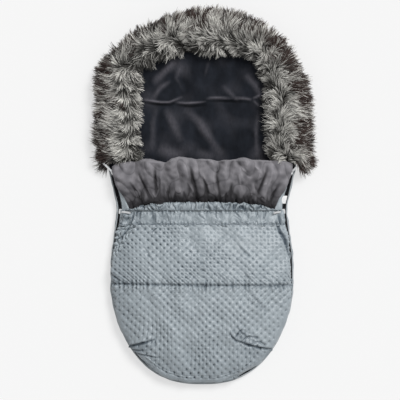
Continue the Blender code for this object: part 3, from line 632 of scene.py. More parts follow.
def finish_of(slot):
    """The material of one of the record's slots, made the first time it is asked for."""
    look = bpy.context.scene.footmuff_colours
    # Velours: colour, how mottled, amount of sheen, tint of the sheen, tint where the pile is brushed and
    # where highlights are painted
    dark = (look.dark_velour, 0.35, 0.08, (0.55, 0.55, 0.68), (0.165, 0.158, 0.180))
    grey = (look.grey_velour, 0.12, 0.22, (0.85, 0.82, 0.88), (0.30, 0.29, 0.31))
    makers = {
        "quilt_satin": (satin_finish, "quilt satin", look.satin),
        "dark_velour": (velour_finish, "dark velour", *dark),
        "grey_velour": (velour_finish, "grey velour", *grey),
        "cover_lining": (plain_cloth, "cover lining", (0.035, 0.037, 0.042)),
        "piping": (plain_cloth, "piping cloth", look.piping, 0.6, 1400.0),
        "zip_tape": (plain_cloth, "zip tape", (0.010, 0.010, 0.012), 0.75, 1600.0),
        "zip_coil": (coil_finish, "zip coil", (0.012, 0.012, 0.014)),
        "fur": (fur_finish, "fur"),
        "trim_backing": (plain_cloth, "trim backing", (0.030, 0.027, 0.026)),
        "silver_metal": (metal_finish, "zip metal", (0.60, 0.61, 0.62)),
        "tag": (plain_cloth, "tag cloth", (0.86, 0.86, 0.86), 0.6, 1500.0),
        "stitch": (plain_cloth, "thread", look.thread, 0.6, 2500.0),
    }
    if slot not in MATERIALS:
        maker, *facts = makers[slot]
        MATERIALS[slot] = maker(*facts)
    return MATERIALS[slot]


def declare(obj, slot, *nodes):
    """Hide the frame's nodes that a piece stands for, and give the piece back; the slot is not used."""
    if nodes:
        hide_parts(*nodes)
    return obj


# Where the padded cover leaves the zip in view
ZIP_IN_VIEW = (
    route((290, 215), (291.5, 255), (293, 285), (290, 300)),
    route((116, 212), (113, 240), (111, 258)),
    route((131, 351), (146, 370)),
    route((236, 380), (257, 368.4)),
)
ZIP_VIEW_WIDTH = 0.022


def zip_view(x, y):
    """One where the zip shows beside the cover, falling to nothing where the cover hides it."""
    return np.clip(sum(stroke(x, y, points, ZIP_VIEW_WIDTH) for points in ZIP_IN_VIEW), 0, 1)


# Creases of the quilted cover: half-width, depth, route
QUILT_CREASES = routes(
    (0.0035, 0.0026, (146, 245), (155, 262)),
    (0.0035, 0.0022, (150, 262), (158, 272)),
    (0.0035, 0.0024, (236, 245), (249, 258)),
    (0.0035, 0.0022, (214, 270), (226, 282)),
    (0.0030, 0.0022, (242, 273), (248, 280)),
    (0.0045, 0.0030, (112, 266), (125, 282)),
    (0.0040, 0.0026, (250, 295), (265, 312)),
    (0.0030, 0.0072, (125, 346.5), (140, 341), (159, 335.8)),
    (0.0026, 0.0030, (156.5, 335.5), (158.5, 342)),
    (0.0030, 0.0072, (231, 336), (246, 341.5), (262, 345), (272.4, 347)),
    (0.0038, 0.0085, (274, 213), (276, 232), (283, 249), (288.5, 259)),
    (0.0019, 0.0046, (132.6, 226), (131, 229), (128, 235), (124.7, 241.7)),
    (0.0017, 0.0042, (127.6, 236), (122, 239.6), (117.6, 241.7)),
    (0.0014, 0.0026, (122, 227), (127, 229), (125.5, 231)),
    (0.0014, 0.0022, (115, 231), (119, 233), (122, 232)),
    (0.0015, 0.0034, (113.5, 251), (117, 247), (119, 243)),
    (0.0015, 0.0030, (119, 252), (122, 247.5), (126, 246)),
    (0.0016, 0.0034, (153.3, 233.1), (156, 229.5), (159.7, 226.7)),
    (0.0030, 0.0020, (137, 228), (146, 228.5), (152, 227.5)),
    (0.0026, 0.0036, (234, 323), (240, 330), (247, 336)),
    (0.0024, 0.0044, (228, 328), (230.5, 333), (235, 338)),
    (0.0022, 0.0040, (233, 336), (237, 329), (241, 326)),
    (0.0022, 0.0036, (238, 339), (246, 333), (256, 335)),
    (0.0022, 0.0034, (246, 341), (254, 338), (262, 341)),
    (0.0018, 0.0034, (129, 347), (146, 350), (163, 354)),
    (0.0018, 0.0034, (131, 349), (143, 355), (154, 362)),
    (0.0018, 0.0030, (129, 346), (138, 346), (150, 346)),
    (0.0032, 0.0016, (238, 325), (252, 333), (262, 343)),
)

# Plain parts of the cover: the fold above the crumpled left panel, and the strip beside the right zip
LEFT_PANEL_FOLD = route((140.5, 224), (122.5, 255))
RIGHT_PLAIN_STRIP = route((286, 214), (290, 250), (292, 272))

# Where the quilting is drawn less deep: middle, half-width, share
WEAK_QUILTING = ((place(205, 234), 0.055, 1.0), (place(262, 250), 0.060, 0.8))

# Soft shades at the foot: half-width, depth of shade, route
FOOT_SHADES = routes(
    (0.011, 0.42, (132, 348), (147, 343.5), (158, 341)),
    (0.014, 0.26, (230, 331), (243, 335), (254, 341)),
    (0.010, 0.20, (236, 345), (252, 349), (268, 352)),
)

# Quilting: spacing of its rows, and how far its pits, folds and puffs stand from the smooth cloth
PIT_STEP_X = 0.00985
PIT_STEP_Y = 0.0097
PIT_DEPTH = 0.0030
FOLD_DEPTH = 0.0018
FOLD_WIDTH = 0.0014
PUFF_HEIGHT = 0.0012
FOOT_PUFF_GAIN = 1.2

# Quilt seam: rise of its left end over its middle, half-width and depth of its groove, and its puckers
SEAM_RISE = 0.0028
SEAM_WIDTH = 0.0042
SEAM_DEPTH = 0.0060
SEAM_PUCKER_WIDTH = 0.013
SEAM_PUCKER_DEPTH = 0.0016

# Long stitches round the foot: distances in from its edge, depth, and how far they reach from their middle
FOOT_ROW_INSETS = (0.0345, 0.0410)
FOOT_ROW_DEPTH = 0.0022
FOOT_ROW_MIDDLE_X = -0.015
FOOT_ROW_REACH = 0.150
PLAIN_EDGE = 0.033


def quilting(x, y):
    """Pits at every other crossing of the rows, the creases that trail from them, and the puffs."""
    sway = Waves(3, 0.09)
    gx = (x + 0.0010 * sway(x, y)) / PIT_STEP_X
    gy = (y + 0.0008 * sway(y, x)) / PIT_STEP_Y
    pits = np.zeros(np.shape(x))
    folds = np.zeros(np.shape(x))
    past_seam = ease((QUILT_SEAM_Y - y) / 0.004)
    lean = mix(0.95, -0.75, past_seam)
    size = np.sqrt(1 + lean**2)
    tail = 0.0024 + 0.0034 * bump(y - QUILT_SEAM_Y, 0.034)
    wide = mix(0.0018, 0.0014, past_seam)
    tall = mix(0.0017, 0.0036, ease((QUILT_SEAM_Y - 0.02 - y) / 0.06))
    weaker = mix(0.25, 0.70, ease(0.5 + 0.7 * Waves(19, 0.13)(x, y)))
    for step_x in (-1, 0, 1, 2):
        for step_y in (-1, 0, 1, 2):
            i, j = np.floor(gx) + step_x, np.floor(gy) + step_y
            chance = np.sin(i * 12.9898 + j * 78.233) * 43758.5453
            chance -= np.floor(chance)
            strong = np.where((i + j) % 2 == 0, 1.0, weaker) * mix(0.70, 1.25, chance)
            dx, dy = (gx - i) * PIT_STEP_X, (gy - j) * PIT_STEP_Y
            along, off = (dx - dy * lean) / size, (dx * lean + dy) / size
            pits += strong * bump(np.hypot(dx / wide, dy / tall), 1.0)
            folds += strong * mix(1.0, 0.45, past_seam) * bump(off, FOLD_WIDTH) * bump(along - tail, tail)
    puffs = -np.cos(math.pi * gx) * np.cos(math.pi * gy)
    return pits, folds, puffs


def foot_edge(x, y):
    """Distance in from the edge of the foot, and the two rows of long stitches that follow it."""
    slope_x, slope_y, gone = foot_slopes(x, y)
    level = np.abs(x / BODY_HALF) ** FOOT_SIDE_POWER + gone**FOOT_END_POWER
    distance = (1 - level) / np.maximum(np.hypot(slope_x, slope_y), 1e-6)
    distance = np.where(gone > 0.25, distance, 1.0)
    stitches = 0.35 + 0.65 * np.cos(math.pi * x / PIT_STEP_X) ** 2
    near_end = ease((FOOT_ROW_REACH - np.abs(x - FOOT_ROW_MIDDLE_X)) / 0.03)
    outer, inner = FOOT_ROW_INSETS
    rows = bump(distance - outer, 0.0016) + 0.8 * bump(distance - inner, 0.0014)
    return distance, rows * stitches * near_end


def plain_panels(x, y):
    """How plain the cloth is, and the crumples of the left panel, which run along its fold."""
    upper, lower = LEFT_PANEL_FOLD
    slope = (upper - lower) / np.hypot(*(upper - lower))
    along = (x - lower[0]) * slope[0] + (y - lower[1]) * slope[1]
    off = (x - lower[0]) * slope[1] - (y - lower[1]) * slope[0]
    plain = ease(-off / 0.005) * ease((along + 0.016) / 0.016)
    plain = plain + stroke(x, y, RIGHT_PLAIN_STRIP, 0.014, 0.3)
    return plain, np.abs(Waves(10, 0.0125, stretch=(1.0, 1.9))(off, along))


def cover_relief(x, y):
    """How far the quilted cloth lies below its smooth surface, and how much shade is painted on it."""
    plain, crumples = plain_panels(x, y)
    loose = np.clip(plain, 0, 1)
    in_foot = ease((QUILT_SEAM_Y - 0.01 - y) / 0.03)
    from_edge, rows = foot_edge(x, y)
    near_edge = ease((PLAIN_EDGE - from_edge) / 0.004)

    strength = mix(0.82, 1.20, ease(0.5 + 0.6 * Waves(4, 0.12)(x, y)))
    strength = strength * (1 - np.clip(plain, 0, 0.9)) * (1 - 0.92 * near_edge)
    weak = sum(share * bump(np.hypot(x - u, y - v), width) for (u, v), width, share in WEAK_QUILTING)
    strength = strength * (1 - 0.5 * weak)
    strength = strength * (1 - 0.30 * ease(x / 0.10) * ease((y + 0.18) / 0.05))
    pits, folds, puffs = quilting(x, y)
    puff_height = PUFF_HEIGHT * mix(1.0, FOOT_PUFF_GAIN, in_foot)
    down = strength * (PIT_DEPTH * pits + FOLD_DEPTH * folds - puff_height * puffs)
    # Painted shade in the pits, along the creases that trail from them, and between the foot's puffs
    hollow = strength * (mix(0.62, 0.40, in_foot) * pits + mix(0.46, 0.52, in_foot) * folds)
    hollow += 0.04 * in_foot * strength * np.clip(-puffs, 0, 1)

    seam = y - (QUILT_SEAM_Y - SEAM_RISE * x / BODY_HALF)
    near_seam = bump(seam, SEAM_PUCKER_WIDTH)
    pucker = Waves(11, 0.0100, spread=0.22, stretch=(1.0, 30.0))(x, y)
    down += SEAM_DEPTH * bump(seam, SEAM_WIDTH) + SEAM_PUCKER_DEPTH * pucker * near_seam
    # Painted shade in the seam's groove and its puckers
    hollow += 0.52 * bump(seam, 0.0016) + 0.26 * np.clip(pucker, 0, 2) * near_seam
    down += FOOT_ROW_DEPTH * rows
    # Painted shade along the rows of long stitches and near the foot's edge
    hollow += 0.34 * rows + 0.10 * near_edge

    for points, width, depth in QUILT_CREASES:
        near = stroke(x, y, points, width)
        down += depth * near
        down -= 0.45 * depth * stroke(x, y, points + (0.0, 2.2 * width), width * 1.4)
        # Painted shade in each crease, more in the narrow ones
        hollow += 0.70 * near * (depth / 0.005) * (1.9 if width < 0.002 else 1.0)
    down -= 0.0016 * Waves(5, 0.075)(x, y) + 0.0003 * Waves(6, 0.024)(x, y)
    wrinkles = bump(Waves(7, 0.060, stretch=(1.3, 1.0))(x, y), 0.10) * np.clip(Waves(8, 0.16)(x, y), 0, 1)
    side_wrinkles = bump(Waves(9, 0.015, stretch=(1.0, 1.6))(x, y), 0.14) * loose
    down += 0.0012 * wrinkles + 0.0020 * side_wrinkles - 0.0050 * (crumples - 1.1) * loose
    # Painted shade in the wrinkles and the left panel's crumples, and less shade over the rest of that
    # panel
    hollow += 0.20 * wrinkles + 0.50 * side_wrinkles + loose * (0.80 * bump(crumples, 0.24) - 0.26)

    # Painted shade: soft shades at the foot, darker toward its end, along the left side, on the foot's
    # right side, and over the body except at its left
    hollow += shades(x, y, FOOT_SHADES) + 0.12 * ease((-y - 0.36) / 0.08)
    hollow += 0.16 * ease((-x - 0.145) / 0.06) * (1 - loose) + 0.16 * ease((x - 0.165) / 0.06) * in_foot
    hollow += 0.09 * ease((y - QUILT_SEAM_Y) / 0.03) * (1 - ease((-x - 0.10) / 0.06))
    return down, np.clip(hollow, 0, 1)


# How high over the rim the swollen side reaches furthest out, as a share of the cover's height
SWELL_LEVEL = 0.25


def swell(grid, amount):
    """Push the lower part of the cover's sides outward over the zip."""
    x, y = grid[..., 0], grid[..., 1]
    height = np.clip((grid[..., 2] - RIM_Z) / crown(y), 0, 1) / SWELL_LEVEL
    slope_x, slope_y, _ = foot_slopes(x, y)
    reach = amount * height * np.exp(1 - height) / np.maximum(np.hypot(slope_x, slope_y), 1e-9)
    moved = grid.copy()
    moved[..., 0] += np.sign(x) * slope_x * reach
    moved[..., 1] -= slope_y * reach
    return moved


def foot_rows(count, inset):
    """Y values from the end of the foot up to the quilt seam, closer together at the end."""
    return foot_curve(np.linspace(LAST_TURN, 0, count, endpoint=False), inset)[1]


def across_columns(count, evenness):
    """Shares from -1 to 1, closer together toward the sides."""
    even = np.linspace(-1, 1, count)
    return mix(np.sin(even * math.pi / 2), even, evenness)


def two_layers(rows, across, insets):
    """Outer and inner grid; in the foot the inner rows end short of the outer ones."""
    length = QUILT_SEAM_Y - FOOT_END_Y - RIM_INSET
    grids = []
    for inset in insets:
        scale = (length - inset) / length
        y = np.where(rows < QUILT_SEAM_Y, QUILT_SEAM_Y - (QUILT_SEAM_Y - rows) * scale, rows)
        grids.append(cover_surface(y[:, None], across[None, :], inset))
    return grids


def new_group(name, sockets):
    """A geometry tree whose inputs are (name, socket kind, default) and whose output is a geometry."""
    group = bpy.data.node_groups.new(name, "GeometryNodeTree")
    group.interface.new_socket("Geometry", in_out="INPUT", socket_type="NodeSocketGeometry")
    for label, kind, default in sockets:
        socket = group.interface.new_socket(label, in_out="INPUT", socket_type=f"NodeSocket{kind}")
        if default is not None:
            socket.default_value = default
    group.interface.new_socket("Geometry", in_out="OUTPUT", socket_type="NodeSocketGeometry")
    tree = Tree(group)
    return group, tree, tree.add("NodeGroupInput").outputs


def bead_group():
    """Rounded beads at an even spacing along a path: zip teeth across it, or stitches along it."""
    group, tree, given = new_group(
        "beads along a path",
        (
            ("Spacing", "Float", 0.004),
            ("Size", "Vector", (0.001, 0.001, 0.001)),
            ("Material", "Material", None),
        ),
    )
    curve = tree.out("GeometryNodeMeshToCurve", {"Mesh": given["Geometry"]})
    spaced = {"Curve": curve, "Length": given["Spacing"]}
    points = tree.out("GeometryNodeResampleCurve", spaced, mode="LENGTH")
    along = {"Vector": tree.out("GeometryNodeInputTangent")}
    turn = tree.out("FunctionNodeAlignRotationToVector", along, axis="X")
    stand = {"Rotation": turn, "Vector": tree.named("up", "FLOAT_VECTOR")}
    turn = tree.out("FunctionNodeAlignRotationToVector", stand, axis="Z", pivot_axis="X")
    ball = tree.out("GeometryNodeMeshUVSphere", {"Segments": 6, "Rings": 4, "Radius": 0.5})
    row = {"Points": points, "Instance": ball, "Rotation": turn, "Scale": given["Size"]}
    many = tree.out("GeometryNodeInstanceOnPoints", row)
    tree.close(tree.out("GeometryNodeRealizeInstances", {0: many}), given["Material"])
    return group


def grown(name, source, group, values):
    """The plain mesh object that a geometry tree makes from a source object, which is removed."""
    change = source.modifiers.new(group.name, "NODES")
    change.node_group = group
    for item in group.interface.items_tree:
        if item.in_out == "INPUT" and item.name in values:
            change[item.identifier] = values[item.name]
    graph = bpy.context.evaluated_depsgraph_get()
    mesh = bpy.data.meshes.new_from_object(source.evaluated_get(graph), depsgraph=graph)
    source.modifiers.clear()
    bpy.data.objects.remove(source)
    mesh.name = name
    return linked(name, mesh)


def beads(name, path, spacing, size, slot, up=(0.0, 0.0, 1.0)):
    """A row of beads as one plain mesh: its size is along the path, across it, and up."""
    group = bpy.data.node_groups.get("beads along a path") or bead_group()
    edges = [(k, k + 1) for k in range(len(path) - 1)]
    stand = {"up": np.broadcast_to(up, path.shape)}
    line = make_object(f"{name}_path", path, [], attributes=stand, edges=edges)
    values = {"Spacing": spacing, "Size": size, "Material": finish_of(slot)}
    return grown(name, line, group, values)


def cloth_colour(name, description, default):
    return FloatVectorProperty(name=name, description=description, default=default, subtype="COLOR")


def size_in_metres(name, description, default):
    return FloatProperty(name=name, description=description, default=default, unit="LENGTH")


class FootmuffColours(bpy.types.PropertyGroup):
    """Colours of the cloths, as linear values."""

    satin: cloth_colour("Satin", "Grey-blue outer cloth", (0.322, 0.366, 0.395))
    dark_velour: cloth_colour("Dark velour", "Velour of the back and the hood", (0.0130, 0.0150, 0.0200))
    grey_velour: cloth_colour("Grey velour", "Velour of the collar", (0.150, 0.146, 0.158))
    piping: cloth_colour("Piping", "Cloth of the piping outside the zip", (0.36, 0.39, 0.41))
    thread: cloth_colour("Thread", "Sewing thread of the visible seams", (0.36, 0.40, 0.43))
    floor: cloth_colour("Floor", "Pale surface that the footmuff lies on", (0.915, 0.915, 0.915))


class FootmuffSizes(bpy.types.PropertyGroup):
    """Sizes of the soft pieces."""

    swell_beside_zip: size_in_metres(
        "Swell beside zip", "How far the cover bulges out where the zip shows", 0.0065
    )
    swell_over_zip: size_in_metres(
        "Swell over zip", "How far the cover bulges out where it hides the zip", 0.0158
    )
    frill_height: size_in_metres("Frill height", "Height of the gathered tunnel over the cover", 0.0085)
    tooth_pitch: size_in_metres(
        "Tooth pitch", "Distance from one turn of the zip's coil to the next", 0.0016
    )
    stitch_pitch: size_in_metres("Stitch pitch", "Distance from one stitch to the next", 0.0042)
    hair_length: size_in_metres("Hair length", "Length of the fur's longest hair", 0.040)
    hair_width: size_in_metres("Hair width", "Width of a strand of the fur at its root", 0.0026)
    hair_density: FloatProperty(
        name="Hair density", description="Strands on a square metre of the trim", default=480000.0
    )
    hair_seed: IntProperty(name="Hair seed", description="Seed of the strands' places", default=7)


def sizes():
    return bpy.context.scene.footmuff_sizes


# Stage: half-width of the floor and its drop below the footmuff, and the way to the light
FLOOR_HALF = 4.0
FLOOR_Z = -0.0004
WAY_TO_LIGHT = (0.42, 0.48, 0.77)
LIGHT_STRENGTH = 2.50
LIGHT_ANGLE = math.radians(24)
ROOM_LIGHT = 0.42
ROOM_SEEN = 0.93
LENS = 150
CAMERA_LIFT = 0.02


class FOOTMUFF_OT_stage(bpy.types.Operator):
    """Floor, soft light and the camera straight above"""

    bl_idname = "footmuff.stage"
    bl_label = "Stage"

    def execute(self, context):
        scene = context.scene
        corners = [(-1, -1), (1, -1), (1, 1), (-1, 1)]
        corners = np.array([(x * FLOOR_HALF, y * FLOOR_HALF, FLOOR_Z) for x, y in corners])
        paint = floor_finish("floor", scene.footmuff_colours.floor)
        make_object("floor", corners, [(0, 1, 2, 3)], paint)
        self.room(scene)
        sun = linked("sun", bpy.data.lights.new("sun", "SUN"))
        sun.data.energy = LIGHT_STRENGTH
        sun.data.angle = LIGHT_ANGLE
        sun.rotation_euler = Vector(WAY_TO_LIGHT).to_track_quat("Z", "Y").to_euler()
        camera = linked("camera", bpy.data.cameras.new("camera"))
        camera.data.lens = LENS
        camera.data.clip_end = 30
        middle = place(FRAME_PIXELS / 2, FRAME_PIXELS / 2)
        distance = FRAME_PIXELS * PIXEL * LENS / camera.data.sensor_width
        camera.location = (*middle, distance + CAMERA_LIFT)
        scene.camera = camera
        scene.view_settings.view_transform = "Standard"
        return {"FINISHED"}

    def room(self, scene):
        """Plain light from all round, which the camera and metal see as a pale backdrop."""
        scene.world = bpy.data.worlds.new("room")
        scene.world.use_nodes = True
        tree = Tree(scene.world.node_tree)
        back = scene.world.node_tree.nodes["Background"]
        back.inputs["Color"].default_value = (1, 1, 1, 1)
        path = tree.add("ShaderNodeLightPath").outputs
        mirrored = tree.math("MAXIMUM", path["Is Glossy Ray"], path["Is Transmission Ray"])
        seen = tree.math("MAXIMUM", path["Is Camera Ray"], mirrored)
        tree.put(back.inputs["Strength"], tree.ramp(seen, 0, 1, ROOM_LIGHT, ROOM_SEEN))


# Folds of the velour inside: half-width, height, route; a negative height is a hollow
LINING_FOLDS = routes(
    (0.0030, 0.0042, (141, 99.5), (152, 101), (160, 102.3), (169, 102.2), (176, 99.5), (183, 96.6)),
    (0.0028, 0.0036, (174, 102), (185, 103.2), (196, 102.6), (207, 101.4)),
    (0.0028, 0.0036, (205, 98.6), (215, 97.6), (224, 98.2), (233, 98.6)),
    (0.0030, 0.0040, (234.5, 98.2), (244, 98.4), (252, 99.8)),
    (0.0026, 0.0030, (252, 99), (262, 94)),
    (0.0026, 0.0024, (253, 100), (260, 107)),
    (0.0030, -0.0040, (141, 102), (154, 104.2), (170, 105.2), (178, 102)),
    (0.0032, -0.0034, (174, 105), (190, 106.4), (208, 105)),
    (0.0028, -0.0036, (205, 101.4), (220, 101), (234, 101.6), (252, 102.6)),
    (0.0100, 0.0040, (180, 56), (168, 68), (152, 84)),
    (0.0060, 0.0030, (172, 80), (160, 88), (152, 100)),
    (0.0090, 0.0034, (245, 74), (254, 84), (262, 97)),
    (0.0060, 0.0024, (222, 85), (232, 95), (241, 106)),
    (0.0110, 0.0030, (165, 108), (172, 122), (182, 142)),
    (0.0115, 0.0034, (184, 108), (199, 122), (210, 138), (222, 156)),
    (0.0085, 0.0024, (157, 106), (153, 124), (152, 152)),
    (0.0060, 0.0024, (259, 110), (256, 130), (257, 158)),
    (0.0060, 0.0018, (182, 64), (176, 78), (184, 92)),
    (0.0050, 0.0016, (209, 60), (204, 78)),
)

# Patches where the pile is brushed up: half-width, share, route
BRUSHED_PATCHES = routes(
    (0.016, 0.55, (158, 147), (170, 152), (186, 158)),
    (0.012, 0.35, (196, 152), (214, 158)),
)
FULL_FOLD = 0.0042


def lining_relief(x, y):
    """Height of the velour's folds, the painted shade in its hollow folds, and its paler pile: brushed
    patches, and painted highlights on its raised folds.
    """
    up = 0.0004 * Waves(21, 0.060)(x, y) + 0.0002 * Waves(22, 0.020)(x, y)
    brushing_and_highlight = 0.07 * Waves(23, 0.080)(x, y) + shades(x, y, BRUSHED_PATCHES)
    hollow = np.zeros(np.shape(x))
    for points, width, height in LINING_FOLDS:
        near = stroke(x, y, points, width)
        up = up + height * near
        # A raised fold gets a painted highlight; a hollow one gets painted shade
        if height > 0:
            brushing_and_highlight += near * height / FULL_FOLD * (0.90 if width < 0.004 else 0.58)
        else:
            hollow += 0.9 * near
    shown = ease((0.185 - np.abs(x)) / 0.02) * ease((y - 0.045) / 0.02) * ease((0.40 - y) / 0.02)
    return up * shown, np.clip(hollow, 0, 1) * shown, np.clip(brushing_and_highlight, 0, 1) * shown


# Lining of the back: inset from the plan outline, heights of its two sides, and where it comes into view
LINING_INSET = 0.0026
LINING_TOP_Z = 0.0150
LINING_BASE_Z = 0.0100
LINING_SHOWN_Y = 0.06

# The underside's section, from under the back round its edge to the piping: inset, Z
UNDERSIDE_SECTION = (
    (0.030, 0.0),
    (0.020, 0.0001),
    (0.0125, 0.0008),
    (0.0062, 0.0022),
    (0.0022, 0.0046),
    (-0.0002, 0.0078),
    (-0.0008, 0.0110),
    (0.0004, 0.0140),
    (0.0022, 0.0156),
)


def back_rows():
    """Y values of the lining's rows, close together only where it is in view."""
    foot = foot_rows(34, ROW_INSET)
    sack = np.arange(QUILT_SEAM_Y, LINING_SHOWN_Y, 0.009)
    shown = np.arange(LINING_SHOWN_Y, HOOD_SEAM_Y, 0.0024)
    hood = hood_curve(np.linspace(0, LAST_TURN, 88), ROW_INSET)[1]
    return np.concatenate([foot, sack, shown, hood])


def back_grid(height, across, rows):
    """A sheet over the plan of the back: height is a function of X, Y and distance in from its edge."""
    foot, hood = QUILT_SEAM_Y - FOOT_END_Y, HOOD_TOP_Y - HOOD_SEAM_Y
    foot_y = QUILT_SEAM_Y - (QUILT_SEAM_Y - rows) * (foot - LINING_INSET) / (foot - ROW_INSET)
    y = np.where(rows < QUILT_SEAM_Y, foot_y, rows)
    hood_y = HOOD_SEAM_Y + (y - HOOD_SEAM_Y) * (hood - LINING_INSET) / (hood - ROW_INSET)
    y = np.where(y > HOOD_SEAM_Y, hood_y, y)
    half = plan_half(y, LINING_INSET)[:, None]
    x = across * half
    y = np.broadcast_to(y[:, None], x.shape)
    end_room = np.minimum(y - (FOOT_END_Y + LINING_INSET), (HOOD_TOP_Y - LINING_INSET) - y)
    room = np.minimum(half * (1 - np.abs(across)), np.maximum(end_room, 0))
    return np.stack([x, y, height(x, y, room)], axis=-1)


class FOOTMUFF_OT_padded_back(bpy.types.Operator):
    """Padded back and hood: satin outside, velour inside, and the strips that carry the fur"""

    bl_idname = "footmuff.padded_back"
    bl_label = "Padded back"

    def execute(self, context):
        rows, across = back_rows(), across_columns(170, 0.7)
        facts = {}

        def top(x, y, room):
            up, facts["hollow"], facts["brushing_and_highlight"] = lining_relief(x, y)
            return LINING_TOP_Z - 0.0024 * (1 - ease(room / 0.013)) + up

        def base(x, y, room):
            return LINING_BASE_Z - 0.0084 * ease(room / 0.016)

        upper, lower = back_grid(top, across, rows), back_grid(base, across, rows)
        lining = shell("velour_back_lining", upper, lower, finish_of("dark_velour"), facts, 5)
        declare(lining, "dark_velour", "back_lining", "hood_lining", "back_wadding", "hood_wadding")
        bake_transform(lining)
        self.underside()
        for name in ("trim_backing_left", "trim_backing_right", "trim_backing_hood"):
            repaint(name, "trim_backing")
        return {"FINISHED"}

    def underside(self):
        """The outer cloth: a soft-edged tray from below round to the piping, and back up inside."""
        outside = [whole_outline(inset, z) for inset, z in UNDERSIDE_SECTION]
        inside = [
            whole_outline(inset + CLOTH, z + CLOTH * ease((0.008 - z) / 0.006))
            for inset, z in reversed(UNDERSIDE_SECTION)
        ]
        loops = np.array(outside + inside)
        x, y = loops[0, :, 0], loops[0, :, 1]
        soft = 0.0006 * Waves(31, 0.030)(x, y) + 0.0005 * Waves(32, 0.110)(x, y)
        heights = np.array([z for _, z in UNDERSIDE_SECTION + UNDERSIDE_SECTION[::-1]])
        loops[:, :, 0] += np.sign(x) * soft * bump(heights - 0.008, 0.006)[:, None]
        count, corners = loops.shape[:2]
        last = (count - 1) * corners
        faces = [quad[:1] + quad[:0:-1] for quad in ring_faces(last, corners)]
        faces += ladder(corners, 0, False) + ladder(corners, last, True)
        # Painted shade on the cloth where it curves away under the piping, along the sides but not round
        # the lower foot
        shade = 0.7 * bump(heights - 0.0085, 0.006)
        shade[len(UNDERSIDE_SECTION) :] = 0
        hollow = shade[:, None] * ease((y + 0.300) / 0.06)
        cloth = make_object("satin_underside", loops, faces, finish_of("quilt_satin"), {"hollow": hollow})
        declare(cloth, "quilt_satin", "back_outer_shell", "hood_outer_shell")
        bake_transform(cloth)


def whole_outline(inset, z):
    """The closed outline of back and hood at an inset, symmetric point by point about X = 0."""
    turns = np.linspace(0, math.pi / 2, 60)[1:]
    (foot_x, foot_y), (hood_x, hood_y) = foot_curve(turns, inset), hood_curve(turns, inset)
    side_y = np.linspace(QUILT_SEAM_Y, HOOD_SEAM_Y, 110)
    x = np.concatenate([foot_x[::-1], half_width(side_y) - inset, hood_x])
    y = np.concatenate([foot_y[::-1], side_y, hood_y])
    x[0] = x[-1] = 0
    loop = np.concatenate([np.stack([x, y], 1), np.stack([-x[-2:0:-1], y[-2:0:-1]], 1)])
    return np.column_stack([loop, np.full(len(loop), z)])


def ladder(corners, start, up):
    """Rungs that close a loop whose points pair up left and right."""
    faces = []
    for c in range(corners // 2):
        quad = dict.fromkeys((c, c + 1, corners - c - 1, (corners - c) % corners))
        quad = [start + k for k in quad]
        faces.append(quad if up else quad[::-1])
    return faces


def repaint(node, slot):
    """Give a node of the frame a finish in place of its plain one."""
    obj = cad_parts[node]
    obj.data.materials.clear()
    obj.data.materials.append(finish_of(slot))


class FOOTMUFF_OT_quilted_cover(bpy.types.Operator):
    """Quilted cover over foot and body, with its lining"""

    bl_idname = "footmuff.quilted_cover"
    bl_label = "Quilted cover"

    def execute(self, context):
        across = across_columns(381, 0.78)
        body = np.linspace(QUILT_SEAM_Y, BAND_START_Y, 136)
        rows = np.concatenate([foot_rows(216, RIM_INSET), body])
        smooth, inner = two_layers(rows, across, (0.0, PAD_DEPTH))
        x, y = smooth[..., 0], smooth[..., 1]
        near_band = ease((y - (BAND_START_Y - 0.03)) / 0.03)
        amount = mix(sizes().swell_over_zip, sizes().swell_beside_zip, zip_view(x, y))
        outer = swell(smooth, mix(amount, BAND_SWELL, near_band))
        down, hollow = cover_relief(x, y)
        edge = ease((smooth[..., 2] - RIM_Z) / 0.012)
        outer = outer - normals(outer) * (down * edge)[..., None]
        outer[..., 2] = np.maximum(outer[..., 2], RIM_Z - 0.0002)
        cover = shell("quilted_cover", outer, inner, finish_of("quilt_satin"), {"hollow": hollow}, 4)
        nodes = [f"{part}_cover_{layer}" for part in ("foot", "body") for layer in ("outer", "wadding")]
        declare(cover, "quilt_satin", *nodes)
        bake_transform(cover)
        self.lining()
        return {"FINISHED"}

    def lining(self):
        """The plain cloth under the padding, up to the collar seam."""
        across = across_columns(61, 0.5)
        body = np.linspace(QUILT_SEAM_Y, COLLAR_SEAM_Y - 0.0002, 40)
        rows = np.concatenate([foot_rows(46, RIM_INSET), body])
        outer, inner = two_layers(rows, across, (PAD_DEPTH + LAYER_GAP, LINING_DEPTH))
        soft = 0.0004 * np.abs(Waves(41, 0.05)(inner[..., 0], inner[..., 1]))
        inner = inner - normals(inner) * soft[..., None]
        cloth = shell("cover_lining", outer, inner, finish_of("cover_lining"))
        declare(cloth, "cover_lining", "foot_cover_lining", "body_cover_lining")
        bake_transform(cloth)


